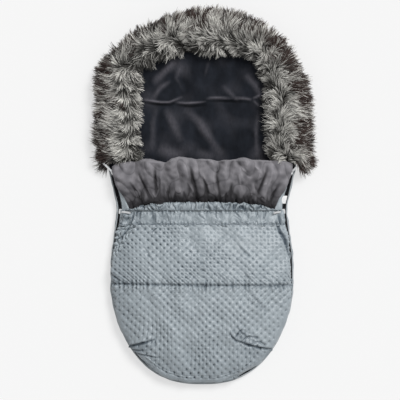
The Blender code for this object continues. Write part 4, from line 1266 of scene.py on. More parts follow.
# Creases of the waist band: half-width, depth, route
BAND_CREASES = routes(
    (0.0024, 0.0026, (154, 211), (154.5, 225)),
    (0.0020, 0.0022, (197, 211), (204, 220)),
    (0.0018, 0.0018, (224, 204), (227, 208)),
    (0.0020, 0.0026, (231, 205), (234, 212), (240, 219)),
    (0.0018, 0.0022, (234, 219), (237, 225)),
    (0.0017, 0.0040, (143.2, 210.6), (142, 215), (141, 219.8)),
    (0.0015, 0.0032, (139.6, 211), (138.2, 216.8)),
    (0.0018, 0.0034, (136.5, 211), (135.2, 217.5), (133, 226)),
    (0.0014, 0.0034, (126.9, 213.6), (124.4, 217)),
    (0.0014, 0.0034, (129.4, 214.6), (126, 218.4)),
    (0.0016, 0.0036, (118.6, 221), (122.6, 223.1), (126.4, 223.6)),
    (0.0015, 0.0030, (131.5, 217), (130, 221.5), (131.5, 224.5)),
    (0.0018, 0.0026, (156.2, 211), (156.4, 225.6)),
    (0.0014, 0.0014, (168, 213), (169.5, 223)),
    (0.0014, 0.0016, (181, 212), (180, 218)),
    (0.0014, 0.0018, (214, 212), (216, 219)),
    (0.0014, 0.0018, (256, 212), (254, 219)),
    (0.0020, 0.0020, (264, 211), (261, 221)),
    (0.0030, 0.0034, (275, 211), (277, 225)),
    (0.0018, 0.0016, (247, 212), (246, 222)),
)

# Where the frill and the velour meet: lowest at the sides
FRILL_TOP_Y = -0.0165
FRILL_DROP = 0.020
FRILL_TURN = math.radians(74)

# The band's two stitched lines, in from its edges, and the depth of its lines, puckers and folds
BAND_LOW_Y = BAND_START_Y + 0.0020
BAND_HIGH_Y = BAND_END_Y - 0.0026
BAND_LINE_DEPTH = 0.0022
BAND_PUCKER_DEPTH = 0.0014
BAND_OVAL_DEPTH = 0.0011
BAND_WRINKLE_DEPTH = 0.0022
BAND_CROWN = 0.0016


def frill_top(x):
    return np.maximum(FRILL_TOP_Y - FRILL_DROP * np.abs(x / 0.19) ** 4, BAND_END_Y + 0.004)


def band_relief(x, y):
    """How far the band's cloth lies below its smooth surface, and how much shade is painted on it."""
    stitched = ease((x + 0.178) / 0.010)
    lines = (bump(y - BAND_LOW_Y, 0.0019) + 0.45 * bump(y - BAND_HIGH_Y, 0.0016)) * stitched
    near_lines = (bump(y - BAND_LOW_Y, 0.0075) + bump(y - BAND_HIGH_Y, 0.0075)) * stitched
    pucker = Waves(12, 0.0100, spread=0.25, stretch=(1.0, 40.0))(x, y) + 0.5 * Waves(16, 0.0062)(x, y)
    from_middle = y - (BAND_LOW_Y + BAND_HIGH_Y) / 2
    ovals = bump(Waves(13, 0.022, spread=0.2, stretch=(1.0, 1.6))(x, y), 0.20) * bump(from_middle, 0.010)
    down = BAND_LINE_DEPTH * lines + BAND_PUCKER_DEPTH * pucker * near_lines + BAND_OVAL_DEPTH * ovals
    # Painted shade along the stitched lines, in the puckers and ovals, and below in the wrinkles and
    # creases
    hollow = 0.66 * lines + 0.44 * np.clip(pucker, -0.3, 1.6) * near_lines + 0.36 * ovals
    loose = (1 - stitched) + 0.5 * ease((x - 0.195) / 0.01)
    wrinkles = bump(Waves(17, 0.020)(x, y), 0.16)
    down = down + loose * BAND_WRINKLE_DEPTH * (wrinkles - Waves(18, 0.024)(x, y))
    hollow = hollow + 0.6 * loose * wrinkles
    for points, width, depth in BAND_CREASES:
        near = stroke(x, y, points, width)
        down = down + depth * near
        down = down - 0.5 * depth * stroke(x, y, points + (2.4 * width, 0.0), 1.3 * width)
        hollow = hollow + 0.75 * near * depth / 0.0026
    # Painted shade in a patch left of the band's middle and toward its left end, and a little over the
    # whole band
    shaded = bump(x - place(163, 0)[0], 0.022) + 0.5 * ease((-x - 0.140) / 0.03)
    down = down - BAND_CROWN * bump(from_middle, 0.013) - 0.0009 * Waves(14, 0.028)(x, y)
    return down, np.clip(hollow + 0.15 + 0.20 * shaded, 0, 1)


class FOOTMUFF_OT_waist(bpy.types.Operator):
    """Drawstring band and the gathered frill above it"""

    bl_idname = "footmuff.waist"
    bl_label = "Waist"

    def execute(self, context):
        self.band()
        self.frill()
        return {"FINISHED"}

    def band(self):
        across = across_columns(300, 0.8)
        rows = np.linspace(BAND_START_Y - 0.0022, BAND_END_Y + 0.0004, 36)
        outer, inner = two_layers(rows, across, (0.0, CLOTH))
        x, y = outer[..., 0], outer[..., 1]
        down, hollow = band_relief(x, y)
        overlap = 0.0010 * ease((BAND_START_Y - y) / 0.0008)
        outer = swell(outer, BAND_SWELL)
        edge = ease((outer[..., 2] - RIM_Z) / 0.008)
        outer = outer - normals(outer) * (down * edge + overlap)[..., None]
        band = shell("drawstring_band_cloth", outer, inner, finish_of("quilt_satin"), {"hollow": hollow}, 3)
        declare(band, "quilt_satin", "drawstring_band")
        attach(band, "body_cover")

    def frill(self):
        """The elastic tunnel: a ruffled tube, narrow at its ends, with a ragged upper edge."""
        turns = np.linspace(-FRILL_TURN, FRILL_TURN, 560)
        section = np.linspace(0, 2 * math.pi, 28, endpoint=False)
        low = BAND_END_Y - 0.0006
        x = cover_surface(np.full(len(turns), low), np.sin(turns), 0.0)[:, 0]
        level = np.zeros_like(x)
        busy = 0.55 + 0.75 * bump(x + 0.133, 0.045) + 0.75 * bump(x - 0.105, 0.06)
        ruffle = Waves(53, 0.0170, spread=0.4)(x, level) + 0.5 * Waves(54, 0.0080)(x, level)
        ragged = 0.0011 * ruffle * busy + 0.0006 * Waves(52, 0.006)(x, level)
        high = np.maximum(frill_top(x) + ragged, low + 0.004)
        y = ((low + high) / 2)[:, None] + ((high - low) / 2)[:, None] * np.cos(section)
        sway = 0.0040 * busy * Waves(56, 0.030)(x, level)
        across_x = x[:, None] + sway[:, None] * np.cos(section)
        before, base, after = (
            cover_surface(y, np.sin(turns + step)[:, None], CLOTH) for step in (-0.004, 0, 0.004)
        )
        tangent = after - before
        normal = np.stack([-tangent[..., 2], np.zeros_like(y), tangent[..., 0]], axis=-1)
        normal /= np.linalg.norm(normal, axis=-1, keepdims=True)
        taper = 0.35 + 0.65 * ease((FRILL_TURN - np.abs(turns)) / 0.12)
        rise = np.sin(section)
        gathers = Waves(55, 0.0135, spread=0.4, stretch=(1.0, 2.0))(across_x, y)
        creases = bump(Waves(57, 0.021, spread=0.4, stretch=(1.0, 1.7))(across_x, y), 0.24)
        lift = (0.0019 * gathers - 0.0040 * creases) * busy[:, None] * np.maximum(rise + 0.15, 0)
        height = sizes().frill_height / 2 * taper[:, None] * (1 + rise) + lift + LAYER_GAP
        rings = base + normal * np.maximum(height, 0.0003)[..., None]
        # Painted shade in the frill's creases and between its gathers, deepest where it is busiest
        depth = np.clip(0.16 - 0.26 * gathers + 0.95 * creases, 0, 1)
        hollow = np.clip(depth * np.clip(busy, 0, 1)[:, None] + 0.10, 0, 1)
        frill = tube("gathered_frill", rings, finish_of("quilt_satin"), {"hollow": hollow})
        declare(frill, "quilt_satin", "gathered_tunnel", "waist_elastic")
        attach(frill, "body_cover")


# Creases of the collar: half-width, height, route; negative heights are valleys
COLLAR_CREASES = routes(
    (0.0050, -0.0056, (191, 166.4), (193, 178.6), (195.7, 189.3), (196.4, 198)),
    (0.0038, 0.0034, (199.3, 169.3), (206.4, 183.6), (209.3, 193.6)),
    (0.0030, 0.0026, (213, 178.6), (214.3, 188), (216.4, 193)),
    (0.0038, -0.0040, (218.6, 163.6), (215.7, 176.4), (218.6, 192), (220, 199.3)),
    (0.0038, -0.0044, (231.4, 182), (229.3, 192), (228.6, 200)),
    (0.0032, 0.0030, (237, 174.3), (239.3, 185), (241.8, 192)),
    (0.0030, 0.0024, (238.6, 161.4), (241.4, 169.3), (246.4, 175.7)),
    (0.0036, -0.0052, (156.8, 165), (156.2, 178.6), (156.8, 196)),
    (0.0040, 0.0034, (161, 168), (162, 182), (161, 195)),
    (0.0040, -0.0048, (140, 172), (146, 188), (154, 200)),
    (0.0034, -0.0036, (184.3, 190), (185.7, 201)),
    (0.0028, 0.0026, (187.9, 181.4), (192, 188.6), (195.7, 198.6)),
    (0.0048, -0.0046, (203, 178), (207, 190), (206, 199)),
    (0.0034, -0.0050, (265, 165.8), (264.2, 172), (261.7, 180), (258.3, 190), (256.5, 196)),
    (0.0020, 0.0020, (260.8, 186), (265, 183.3)),
    (0.0018, -0.0022, (258.3, 199), (260, 197), (262, 197.6), (262.5, 200)),
    (0.0020, -0.0032, (245.8, 201.7), (251.7, 195)),
    (0.0026, -0.0030, (242, 171), (246, 175), (250, 177)),
    (0.0026, 0.0028, (252.5, 166.7), (257, 170), (260.8, 175.8)),
    (0.0040, 0.0026, (270, 168), (267, 184), (263, 198)),
    (0.0030, -0.0032, (250, 194), (246.4, 201)),
    (0.0032, -0.0034, (168, 188), (169, 201)),
    (0.0030, -0.0032, (176, 191), (175, 201)),
    (0.0034, -0.0040, (132, 182), (138, 196), (143, 203)),
    (0.0034, -0.0040, (277, 182), (272, 196), (268, 206)),
    (0.0036, 0.0026, (252, 164), (258, 174), (256, 184)),
)


def collar_relief(x, y):
    """Height of the gathered velour over its smooth surface, its painted shade, and its paler pile with
    painted highlights on ridges and toward its mouth.
    """
    from_frill = np.maximum(y - frill_top(x), 0)

    def fading(length):
        return np.exp(-from_frill / length)

    gathers = Waves(61, 0.0210, spread=0.4, stretch=(1.0, 2.6))(x, y)
    gathers = gathers + 0.4 * Waves(62, 0.0110, stretch=(1.0, 2.6))(x, y)
    valleys = bump(Waves(66, 0.036, spread=0.4, stretch=(1.0, 2.0))(x, y), 0.22)
    crest = bump(from_frill - 0.019, 0.013)
    crumple = np.abs(Waves(67, 0.062, stretch=(1.0, 1.6))(x + 0.25 * y, y))
    up = 0.0026 * gathers * fading(0.020) - 0.0050 * fading(0.007) + 0.0045 * crest
    up += 0.0038 * crumple - 0.0050 * valleys * fading(0.016)
    up += 0.0050 * Waves(63, 0.075, stretch=(1.0, 1.4))(x, y) + 0.0006 * Waves(64, 0.020)(x, y)
    # Painted shade: deep beside the frill, in the crumples and valleys, and less on the gathers
    hollow = 0.60 * fading(0.0085) + 1.22 * fading(0.032) + 0.30 * bump(crumple, 0.13)
    hollow += 0.95 * valleys * fading(0.022) - 0.24 * gathers * fading(0.020)
    # Paler pile: random waves, painted light toward the mouth, and painted highlights on the crumples and
    # on the gathers at the crest
    brushing_and_highlight = 0.06 + 0.30 * Waves(65, 0.030)(x, y) + 0.30 * ease((from_frill - 0.045) / 0.04)
    brushing_and_highlight += 0.22 * crumple + 0.16 * np.clip(gathers, 0, 2) * crest
    for points, width, height in COLLAR_CREASES:
        near = stroke(x, y, points, width)
        up = up + 1.25 * height * near
        # A valley gets painted shade; a ridge gets a painted highlight
        if height < 0:
            hollow = hollow + 0.95 * near * (-height / 0.0050)
            up = up - 0.45 * height * stroke(x, y, points, width * 2.6)
        else:
            brushing_and_highlight = brushing_and_highlight + 0.60 * near
    up = np.where(up > 0, up * ease(from_frill / 0.008), up)
    return up, np.clip(hollow, 0, 1), np.clip(brushing_and_highlight, 0, 1)


# How far the mouth of the collar lies above its smooth line, in the photograph's pixels, by its columns
MOUTH_WAVE_COLUMNS = (111, 142, 154, 164, 172, 178, 200, 220, 240, 262, 275, 293)
MOUTH_WAVE_RISES = (0.0, 0.0, -2.5, -4.0, -1.5, 0.5, -1.0, -2.0, -1.0, 0.0, 1.0, 2.5)


def mouth_edge(across):
    """Y of the collar's mouth, by the share of the half-width."""
    x = across * half_width(np.array(MOUTH_Y))
    rise = np.interp(x / PIXEL + MIDDLE_COLUMN, MOUTH_WAVE_COLUMNS, MOUTH_WAVE_RISES)
    return MOUTH_Y - MOUTH_DROP * np.abs(across) ** 3 + rise * PIXEL


# How wide the side strips show beside the velour, by their places along Y
STRIP_PLACES_Y = (-0.036, -0.0074, 0.014, 0.06)
STRIP_WIDTHS = (0.0215, 0.0145, 0.0050, 0.0006)

# Tag: its edges along X and Y, its slant, and its height, which falls away outward
TAG_X = (0.2110, 0.2245)
TAG_Y = (-0.0205, 0.0005)
TAG_MIDDLE_Y = -0.01
TAG_SLANT = 0.02
TAG_Z = 0.0247
TAG_FALL = 0.0022
TAG_CLOTH = 0.0006


def velour_share(y):
    """Where the velour's edge lies, as a share of the half-width of the cover at that place."""
    strip = np.interp(y, STRIP_PLACES_Y, STRIP_WIDTHS)
    return 1 - strip / (half_width(y) - RIM_INSET)


def collar_surface(inset, share, spread, side):
    """Points from the frill to the mouth: side 0 is the velour, 1 and -1 are the strips beside it."""
    shape = (len(share), len(spread))
    across = np.broadcast_to(spread if side == 0 else side * mix(0.9, 1.0, spread), shape)
    for _ in range(3):
        start = frill_top(across * half_width(np.array(COLLAR_SEAM_Y))) - 0.0045
        start = np.maximum(start, BAND_END_Y + LAYER_GAP)
        y = mix(start, mouth_edge(across), share[:, None])
        edge = velour_share(y)
        across = edge * spread if side == 0 else side * (edge + (1 - edge) * spread)
    return cover_surface(y, across, inset)


def rolled_mouth(outer, inner):
    """Rows of the half-round over which the outer cloth turns in, for the outer and the inner grid."""
    middle, radius = (outer[-1] + inner[-1]) / 2, (outer[-1] - inner[-1]) / 2
    forward = 0.75 * np.linalg.norm(radius, axis=-1, keepdims=True) * np.array((0.0, 1.0, 0.0))
    turns = np.linspace(math.pi / 2, 0, 7)[1:]
    rows = [[], []]
    for turn in turns:
        for row, way in zip(rows, (1, -1)):
            row.append(middle + way * radius * math.sin(turn) + forward * math.cos(turn))
    outer, inner = np.concatenate([outer, rows[0]]), np.concatenate([inner, rows[1]])
    inner[-1, :, 2] -= 0.00005
    return outer, inner, len(turns)


def collar_part(name, slot, nodes, spread, side):
    """A padded part of the collar, its mouth rolled over; the spread runs from edge to edge."""
    share = np.linspace(0, 1, 88)
    outer = collar_surface(0.0, share, spread, side)
    inner = collar_surface(PAD_DEPTH, share, spread, side)
    x, y = outer[..., 0], outer[..., 1]
    if side:
        up = 0.0012 * Waves(70 + side, 0.02, stretch=(1.0, 2.0))(x, y) - 0.0014 * (1 - ease(spread / 0.15))
        # Painted shade along the strip's edge beside the velour
        hollow = np.broadcast_to(0.35 * (1 - ease(spread / 0.12)), x.shape)
        brushing_and_highlight = np.zeros_like(x)
        outer = swell(outer, 0.0025)
        room = 1.0
    else:
        up, hollow, brushing_and_highlight = collar_relief(x, y)
        outer = swell(outer, mix(0.0030, BAND_SWELL, ease(y / 0.06)))
        room = 0.25 + 0.75 * ease((1 - np.abs(spread)) / 0.05)
    room = room * ease((outer[..., 2] - RIM_Z) / 0.008)
    outer = outer + normals(outer) * (up * room)[..., None]
    outer, inner, added = rolled_mouth(outer, inner)
    pad = np.zeros((added, len(spread)))
    facts = {
        "hollow": np.concatenate([hollow, pad]),
        "brushing_and_highlight": np.concatenate([brushing_and_highlight, pad + brushing_and_highlight[-1].mean()]),
    }
    piece = shell(name, outer, inner, finish_of(slot), facts, 3)
    declare(piece, slot, *nodes)
    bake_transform(piece)


class FOOTMUFF_OT_collar(bpy.types.Operator):
    """Padded velour collar with its side strips, lining and blank tag"""

    bl_idname = "footmuff.collar"
    bl_label = "Collar"

    def execute(self, context):
        nodes = ("collar_velour_top", "collar_wadding")
        collar_part("velour_collar", "grey_velour", nodes, np.linspace(-1, 1, 360), 0)
        for word, side in SIDES:
            spread = (np.linspace(0, 1, 24) ** 0.8)[::side]
            nodes = (f"collar_side_strip_{word}",)
            collar_part(f"collar_strip_{word}", "quilt_satin", nodes, spread, side)
        self.lining()
        self.tag()
        return {"FINISHED"}

    def lining(self):
        """The velour underside of the collar."""
        share = np.linspace(0, 1, 30)[:, None]
        across = across_columns(90, 0.5)[None, :]
        y = mix(COLLAR_SEAM_Y + 0.0002, mouth_edge(across), share)
        outer = cover_surface(y, across, PAD_DEPTH + LAYER_GAP)
        inner = cover_surface(y, across, LINING_DEPTH)
        facts = {"hollow": np.zeros(y.shape), "brushing_and_highlight": np.full(y.shape, 0.1)}
        cloth = shell("collar_lining", outer, inner, finish_of("grey_velour"), facts)
        declare(cloth, "grey_velour", "collar_velour_under")
        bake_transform(cloth)

    def tag(self):
        """A blank tag caught in the seam beside the right zip, leaning out over it."""
        down, out = np.meshgrid(np.linspace(0, 1, 12), np.linspace(0, 1, 10), indexing="ij")
        y = mix(*TAG_Y, down)
        x = mix(*TAG_X, out) + TAG_SLANT * (y - TAG_MIDDLE_Y)
        x = x + (half_width(y) - half_width(np.array(TAG_MIDDLE_Y)))
        z = TAG_Z - TAG_FALL * out + TAG_CLOTH * np.sin(down * 3)
        upper = np.stack([x, y, z], axis=-1)
        tag = shell("blank_side_tag", upper, upper - (0, 0, TAG_CLOTH), finish_of("tag"))
        declare(tag, "tag", "side_tag")
        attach(tag, "collar")


# Zip and piping: ends along Y, insets from the plan outline, heights, widths, and the size of one tooth
ZIP_TOP_Y = 0.0715
SPLIT_Y = -0.100
BACK_COIL_INSET, BACK_COIL_Z = 0.0069, 0.0170
BACK_TAPE_INSET, BACK_TAPE_WIDTH = 0.0047, 0.0026
COVER_COIL_INSET, COVER_COIL_Z = 0.0113, 0.02005
COVER_TAPE_INSET, COVER_TAPE_WIDTH = 0.0175, 0.0090
TAPE_CLOTH = 0.0009
TOOTH_SIZE = (0.0010, 0.0027, 0.0022)
PIPING_INSET, PIPING_Z = 0.0022, 0.0168
PIPING_RADIUS = 0.0017


def zip_side(inset, side):
    """The zip's line along one side of the sack, from high to low Y, on the cover's half."""
    y = np.arange(ZIP_TOP_Y, SPLIT_Y, -0.002)
    return np.column_stack([side * (half_width(y) - inset), y, np.full(len(y), COVER_COIL_Z)])


def coil(name, path, *nodes):
    """The moulded teeth along one length of the zip."""
    teeth = beads(name, path, sizes().tooth_pitch, TOOTH_SIZE, "zip_coil")
    return declare(teeth, "zip_coil", *nodes)


def tape(name, path, width, *nodes):
    """A flat woven tape along a path."""
    ribbon = oval_tube(name, path, width / 2, finish_of("zip_tape"), sides=8, flat=TAPE_CLOTH / width)
    return declare(ribbon, "zip_tape", *nodes)


class FOOTMUFF_OT_zip(bpy.types.Operator):
    """Both halves of the zip with their coils, and the piping outside it"""

    bl_idname = "footmuff.zip"
    bl_label = "Zip"

    def execute(self, context):
        path = outline_path(BACK_COIL_INSET, ZIP_TOP_Y, BACK_COIL_Z)
        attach(coil("back_coil", path, "back_zip_coil"), "root")
        path = outline_path(BACK_TAPE_INSET, ZIP_TOP_Y, BACK_COIL_Z - 0.0004)
        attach(tape("back_tape", path, BACK_TAPE_WIDTH, "back_zip_tape"), "root")
        path = outline_path(COVER_COIL_INSET, SPLIT_Y, COVER_COIL_Z)
        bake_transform(coil("foot_coil", path, "foot_zip_coil"))
        path = outline_path(COVER_TAPE_INSET, SPLIT_Y, COVER_COIL_Z)
        ribbon = tape("foot_tape", path, COVER_TAPE_WIDTH, "foot_zip_tape")
        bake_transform(ribbon)
        for word, side in SIDES:
            path = zip_side(COVER_COIL_INSET, side)
            teeth = coil(f"upper_coil_{word}", path, f"body_zip_coil_{word}", f"collar_zip_coil_{word}")
            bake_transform(teeth)
            path = zip_side(COVER_TAPE_INSET, side)
            nodes = (f"body_zip_tape_{word}", f"collar_zip_tape_{word}")
            ribbon = tape(f"upper_tape_{word}", path, COVER_TAPE_WIDTH, *nodes)
            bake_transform(ribbon)
        self.piping()
        return {"FINISHED"}

    def piping(self):
        path = outline_path(PIPING_INSET, SHOULDER_Y, PIPING_Z)
        bend = Waves(81, 0.035)(path[:, 0], path[:, 1])
        path[:, 2] += 0.0003 * bend
        cord = oval_tube("cloth_piping", path, PIPING_RADIUS + 0.0001 * bend, finish_of("piping"), sides=12)
        declare(cord, "piping", "edge_piping")
        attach(cord, "root")


def fur_edges(rows_side, rows_arch):
    """Outer and inner edge of the trim, from its lower right end over the arch to its lower left."""
    side_y = np.linspace(FUR_END_Y, HOOD_SEAM_Y, rows_side, endpoint=False)
    turns = np.linspace(0, math.pi / 2, rows_arch)
    edges = []
    for half, flare, top, power in (
        (FUR_OUTER_HALF, FUR_FLARE, FUR_OUTER_TOP_Y, FUR_OUTER_POWER),
        (FUR_INNER_HALF, 0.0, FUR_INNER_TOP_Y, FUR_INNER_POWER),
    ):
        side_x = half + flare * ease((HOOD_SEAM_Y - side_y) / (HOOD_SEAM_Y - FUR_END_Y))
        x = half * np.maximum(np.cos(turns), 0) ** (2 / power)
        y = HOOD_SEAM_Y + (top - HOOD_SEAM_Y) * np.sin(turns) ** (2 / power)
        right = np.stack([np.concatenate([side_x, x]), np.concatenate([side_y, y])], 1)
        edges.append(np.concatenate([right, right[-2::-1] * (-1, 1)]))
    return edges


# How far the fur leans sideways, by its places along Y
FUR_LEAN_Y = (0.05, 0.11, 0.16, 0.27, 0.30, 0.335, 0.38, 0.42, 0.50)
FUR_LEAN_X = (0.0081, 0.0081, 0.0045, 0.0018, -0.0027, -0.0090, -0.0027, 0.0, 0.0036)

# Dark parts of the fur: half-width, share, route
FUR_SHADES = routes(
    (0.018, 1.35, (131, 32), (127, 40), (131, 48)),
    (0.010, 1.5, (108, 103), (116, 105), (123, 108)),
    (0.012, 1.35, (95, 119), (104, 121)),
    (0.010, 0.9, (98, 134), (102, 137)),
    (0.012, 1.05, (98, 152), (112, 156)),
    (0.016, 1.35, (190, 14), (199, 24)),
    (0.012, 1.2, (213, 11), (242, 14)),
    (0.018, 1.2, (268, 40), (286, 48)),
    (0.018, 1.35, (294, 86), (303, 95), (311, 106)),
    (0.012, 1.5, (292, 143), (308, 141), (315, 145)),
    (0.012, 0.75, (150, 22), (175, 14)),
    (0.016, 1.05, (103, 66), (97, 84)),
    (0.014, 0.75, (300, 118), (312, 128)),
)

# Undercoat: the shares of the trim's width that it covers, and its lowest Z
SKIN_SHARES = (0.20, 0.90)
SKIN_Z = 0.0167


def fur_skin():
    """The undercoat: a dark dome over the trim, with the shares of its columns and the way across it."""
    outer, inner = fur_edges(52, 112)
    share = np.linspace(*SKIN_SHARES, 26)
    plan = outer[:, None] + (inner - outer)[:, None] * share[None, :, None]
    x, y = plan[..., 0], plan[..., 1]
    x = x + np.interp(y, FUR_LEAN_Y, FUR_LEAN_X)
    dome = np.sin(math.pi * (share - share[0]) / (share[-1] - share[0])) ** 0.6
    z = SKIN_Z + 0.0001 + UNDERCOAT_HEIGHT * dome * mix(0.35, 1.0, ease((y - FUR_END_Y) / 0.03))
    top = np.stack([x, y, z], axis=-1)
    bottom = np.stack([x, y, np.full_like(z, SKIN_Z)], axis=-1)
    return top, bottom, share, outer - inner


# Where the hair ends above the collar, and how it is cut off round beside it: half-width, Y
FUR_FOOT = ((0.0, 0.243, 0.270, 0.290, 0.320), (0.0, 0.058, 0.071, 0.086, 0.113))
FUR_OVER_MOUTH = 0.014

# Tufts that reach out past the trim and in over the lining, both at the left: middle, half-width, reach
TUFTS_OUT = ((-0.165, 0.44), 0.085, 0.020)
TUFTS_IN = ((-0.140, 0.345), 0.060, 0.024)


def tufts(x, y, spot, flat):
    """Extra room for the hair round a place; flat shortens the distances along Y."""
    middle, width, reach = spot
    return reach * bump(np.hypot(x - middle[0], (y - middle[1]) * flat), width)


def combed(x, y, away, outward, wild, share, parting):
    """The way the hair is combed: off the parting, swept along the trim in it, and down near its ends."""
    across_x, across_y = away[:, None, 0], away[:, None, 1]
    swirl = (0.40 + 0.25 * wild) * Waves(91, 0.060)(x, y)
    sweep = wild * np.clip(0.9 + 0.45 * Waves(93, 0.10)(x, y), 0.55, 1.5)
    comb_x = (across_x * np.cos(swirl) - across_y * np.sin(swirl)) * outward - across_y * sweep
    comb_y = (across_x * np.sin(swirl) + across_y * np.cos(swirl)) * outward + across_x * sweep
    low_end = 1 - ease((y - FUR_END_Y) / 0.030)
    comb_y = comb_y - 0.9 * low_end * (share < FUR_PARTING)
    comb_y = comb_y - 0.60 * ease((share - parting - 0.04) / 0.10) * ease((0.36 - y) / 0.05)
    return comb_x, comb_y


def combing(top, share, span):
    """How the hair lies at each point of the skin: its way, lean, length, droop and colours."""
    x, y = top[..., 0], top[..., 1]
    width = np.linalg.norm(span, axis=1, keepdims=True)
    share = np.broadcast_to(share, x.shape)
    parting = FUR_PARTING + 0.05 * Waves(92, 0.10)(x, y)
    from_parting = share - parting
    wild = bump(from_parting, 0.13)
    comb_x, comb_y = combed(x, y, span / width, -np.tanh(from_parting / 0.05), wild, share, parting)

    over_collar = mouth_edge(np.clip(x / half_width(np.array(MOUTH_Y)), -1, 1)) + FUR_OVER_MOUTH
    inside = np.abs(x) < BODY_HALF
    near_collar = inside * (1 - ease((y - over_collar) / 0.036))
    comb_y = np.where(comb_y < 0, comb_y * (1 - 0.9 * near_collar), comb_y)
    size = np.maximum(np.hypot(comb_x, comb_y), 1e-6)

    lean = 0.30 + 0.78 * ease((np.abs(from_parting) - 0.03) / 0.28)
    room_out = share * width - 0.011 - tufts(x, y, TUFTS_OUT, 0.8)
    room_in = (1 - share) * width - 0.008 + tufts(x, y, TUFTS_IN, 1.0)
    room = mix(room_out, room_in, ease((from_parting + 0.04) / 0.08))
    ends = np.where(inside, over_collar, np.interp(np.abs(x), *FUR_FOOT))
    downward = np.maximum(-comb_y / size, 0.30)
    room = np.clip((y - ends) / downward, 0.003, np.maximum(room, 0.003))

    shown = 0.72 * np.minimum(sizes().hair_length * (np.sin(lean) + HAIR_BEND), room) / size
    tip_x, tip_y = x + comb_x * shown, y + comb_y * shown
    inner_side = ease((share - 0.62) / 0.16)
    # Paler and darker hair: random patches, paler in the middle of the trim and on its right side, with
    # painted shade along its inner edge
    light = 1.3 * Waves(94, 0.034)(tip_x, tip_y) + 1.1 * bump(share - 0.48, 0.16)
    light -= inner_side * (1.9 * ease(0.5 + (0.175 - x) / 0.05) + 0.9 * ease((x - 0.15) / 0.05))
    right_side = (0.90 + 0.70 * ease((x - 0.12) / 0.05)) * ease(0.5 + (x + 0.08) / 0.10)
    light += right_side * bump(share - 0.42, 0.24)
    return {
        "comb": np.stack([comb_x / size, comb_y / size, np.zeros_like(x)], axis=-1),
        "wild": wild,
        "lean": lean,
        "room": room,
        "light": light,
        "droop": 0.40 + 0.42 * ease((0.50 - share) / 0.30) + 0.25 * ease((share - 0.74) / 0.14),
        "edge": np.where(share < parting, share * width, 1.0),
        "shade": np.clip(shades(tip_x, tip_y, FUR_SHADES, 0.3), 0, 1),
    }


# Rows of the skin where one piece of the fur ends and the next begins
FUR_CUTS = (0, 60, 108, 163, 218, 266, 326)
FUR_PARTS = ("lower_right", "upper_right", "arch_right", "arch_left", "upper_left", "lower_left")


class FOOTMUFF_OT_fur(bpy.types.Operator):
    """Long-haired fur trim: a dark undercoat and strands combed out from a parting"""

    bl_idname = "footmuff.fur"
    bl_label = "Fur trim"

    def execute(self, context):
        top, bottom, share, span = fur_skin()
        self.undercoat(top, bottom)
        facts = combing(top, share, span)
        group = hair_group()
        for word, start, end in zip(FUR_PARTS, FUR_CUTS, FUR_CUTS[1:]):
            rows = slice(start, end + 1)
            here = {label: values[rows] for label, values in facts.items()}
            self.strands(f"fur_{word}", group, top[rows], here)
        return {"FINISHED"}

    def undercoat(self, top, bottom):
        # The undercoat has the fur's dark root colour, partly painted shade under the hair
        flat = {"along": 0.5, "tone": 0.15, "brown": 0.2}
        skin = shell("fur_undercoat", top[:, ::-1], bottom[:, ::-1], finish_of("fur"), flat)
        declare(skin, "fur", "fur_trim_left", "fur_trim_right", "fur_trim_hood")
        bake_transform(skin)

    def strands(self, name, group, part, facts):
        source = make_object(f"{name}_skin", part, grid_faces(*part.shape[:2]), None, facts)
        size = sizes()
        values = {
            "Density": size.hair_density,
            "Length": size.hair_length,
            "Width": size.hair_width,
            "Seed": size.hair_seed,
            "Material": finish_of("fur"),
        }
        piece = grown(name, source, group, values)
        declare(piece, "fur", "fur_trim_hood")
        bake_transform(piece)


# The lowest that a strand may hang
HAIR_FLOOR_Z = 0.0025


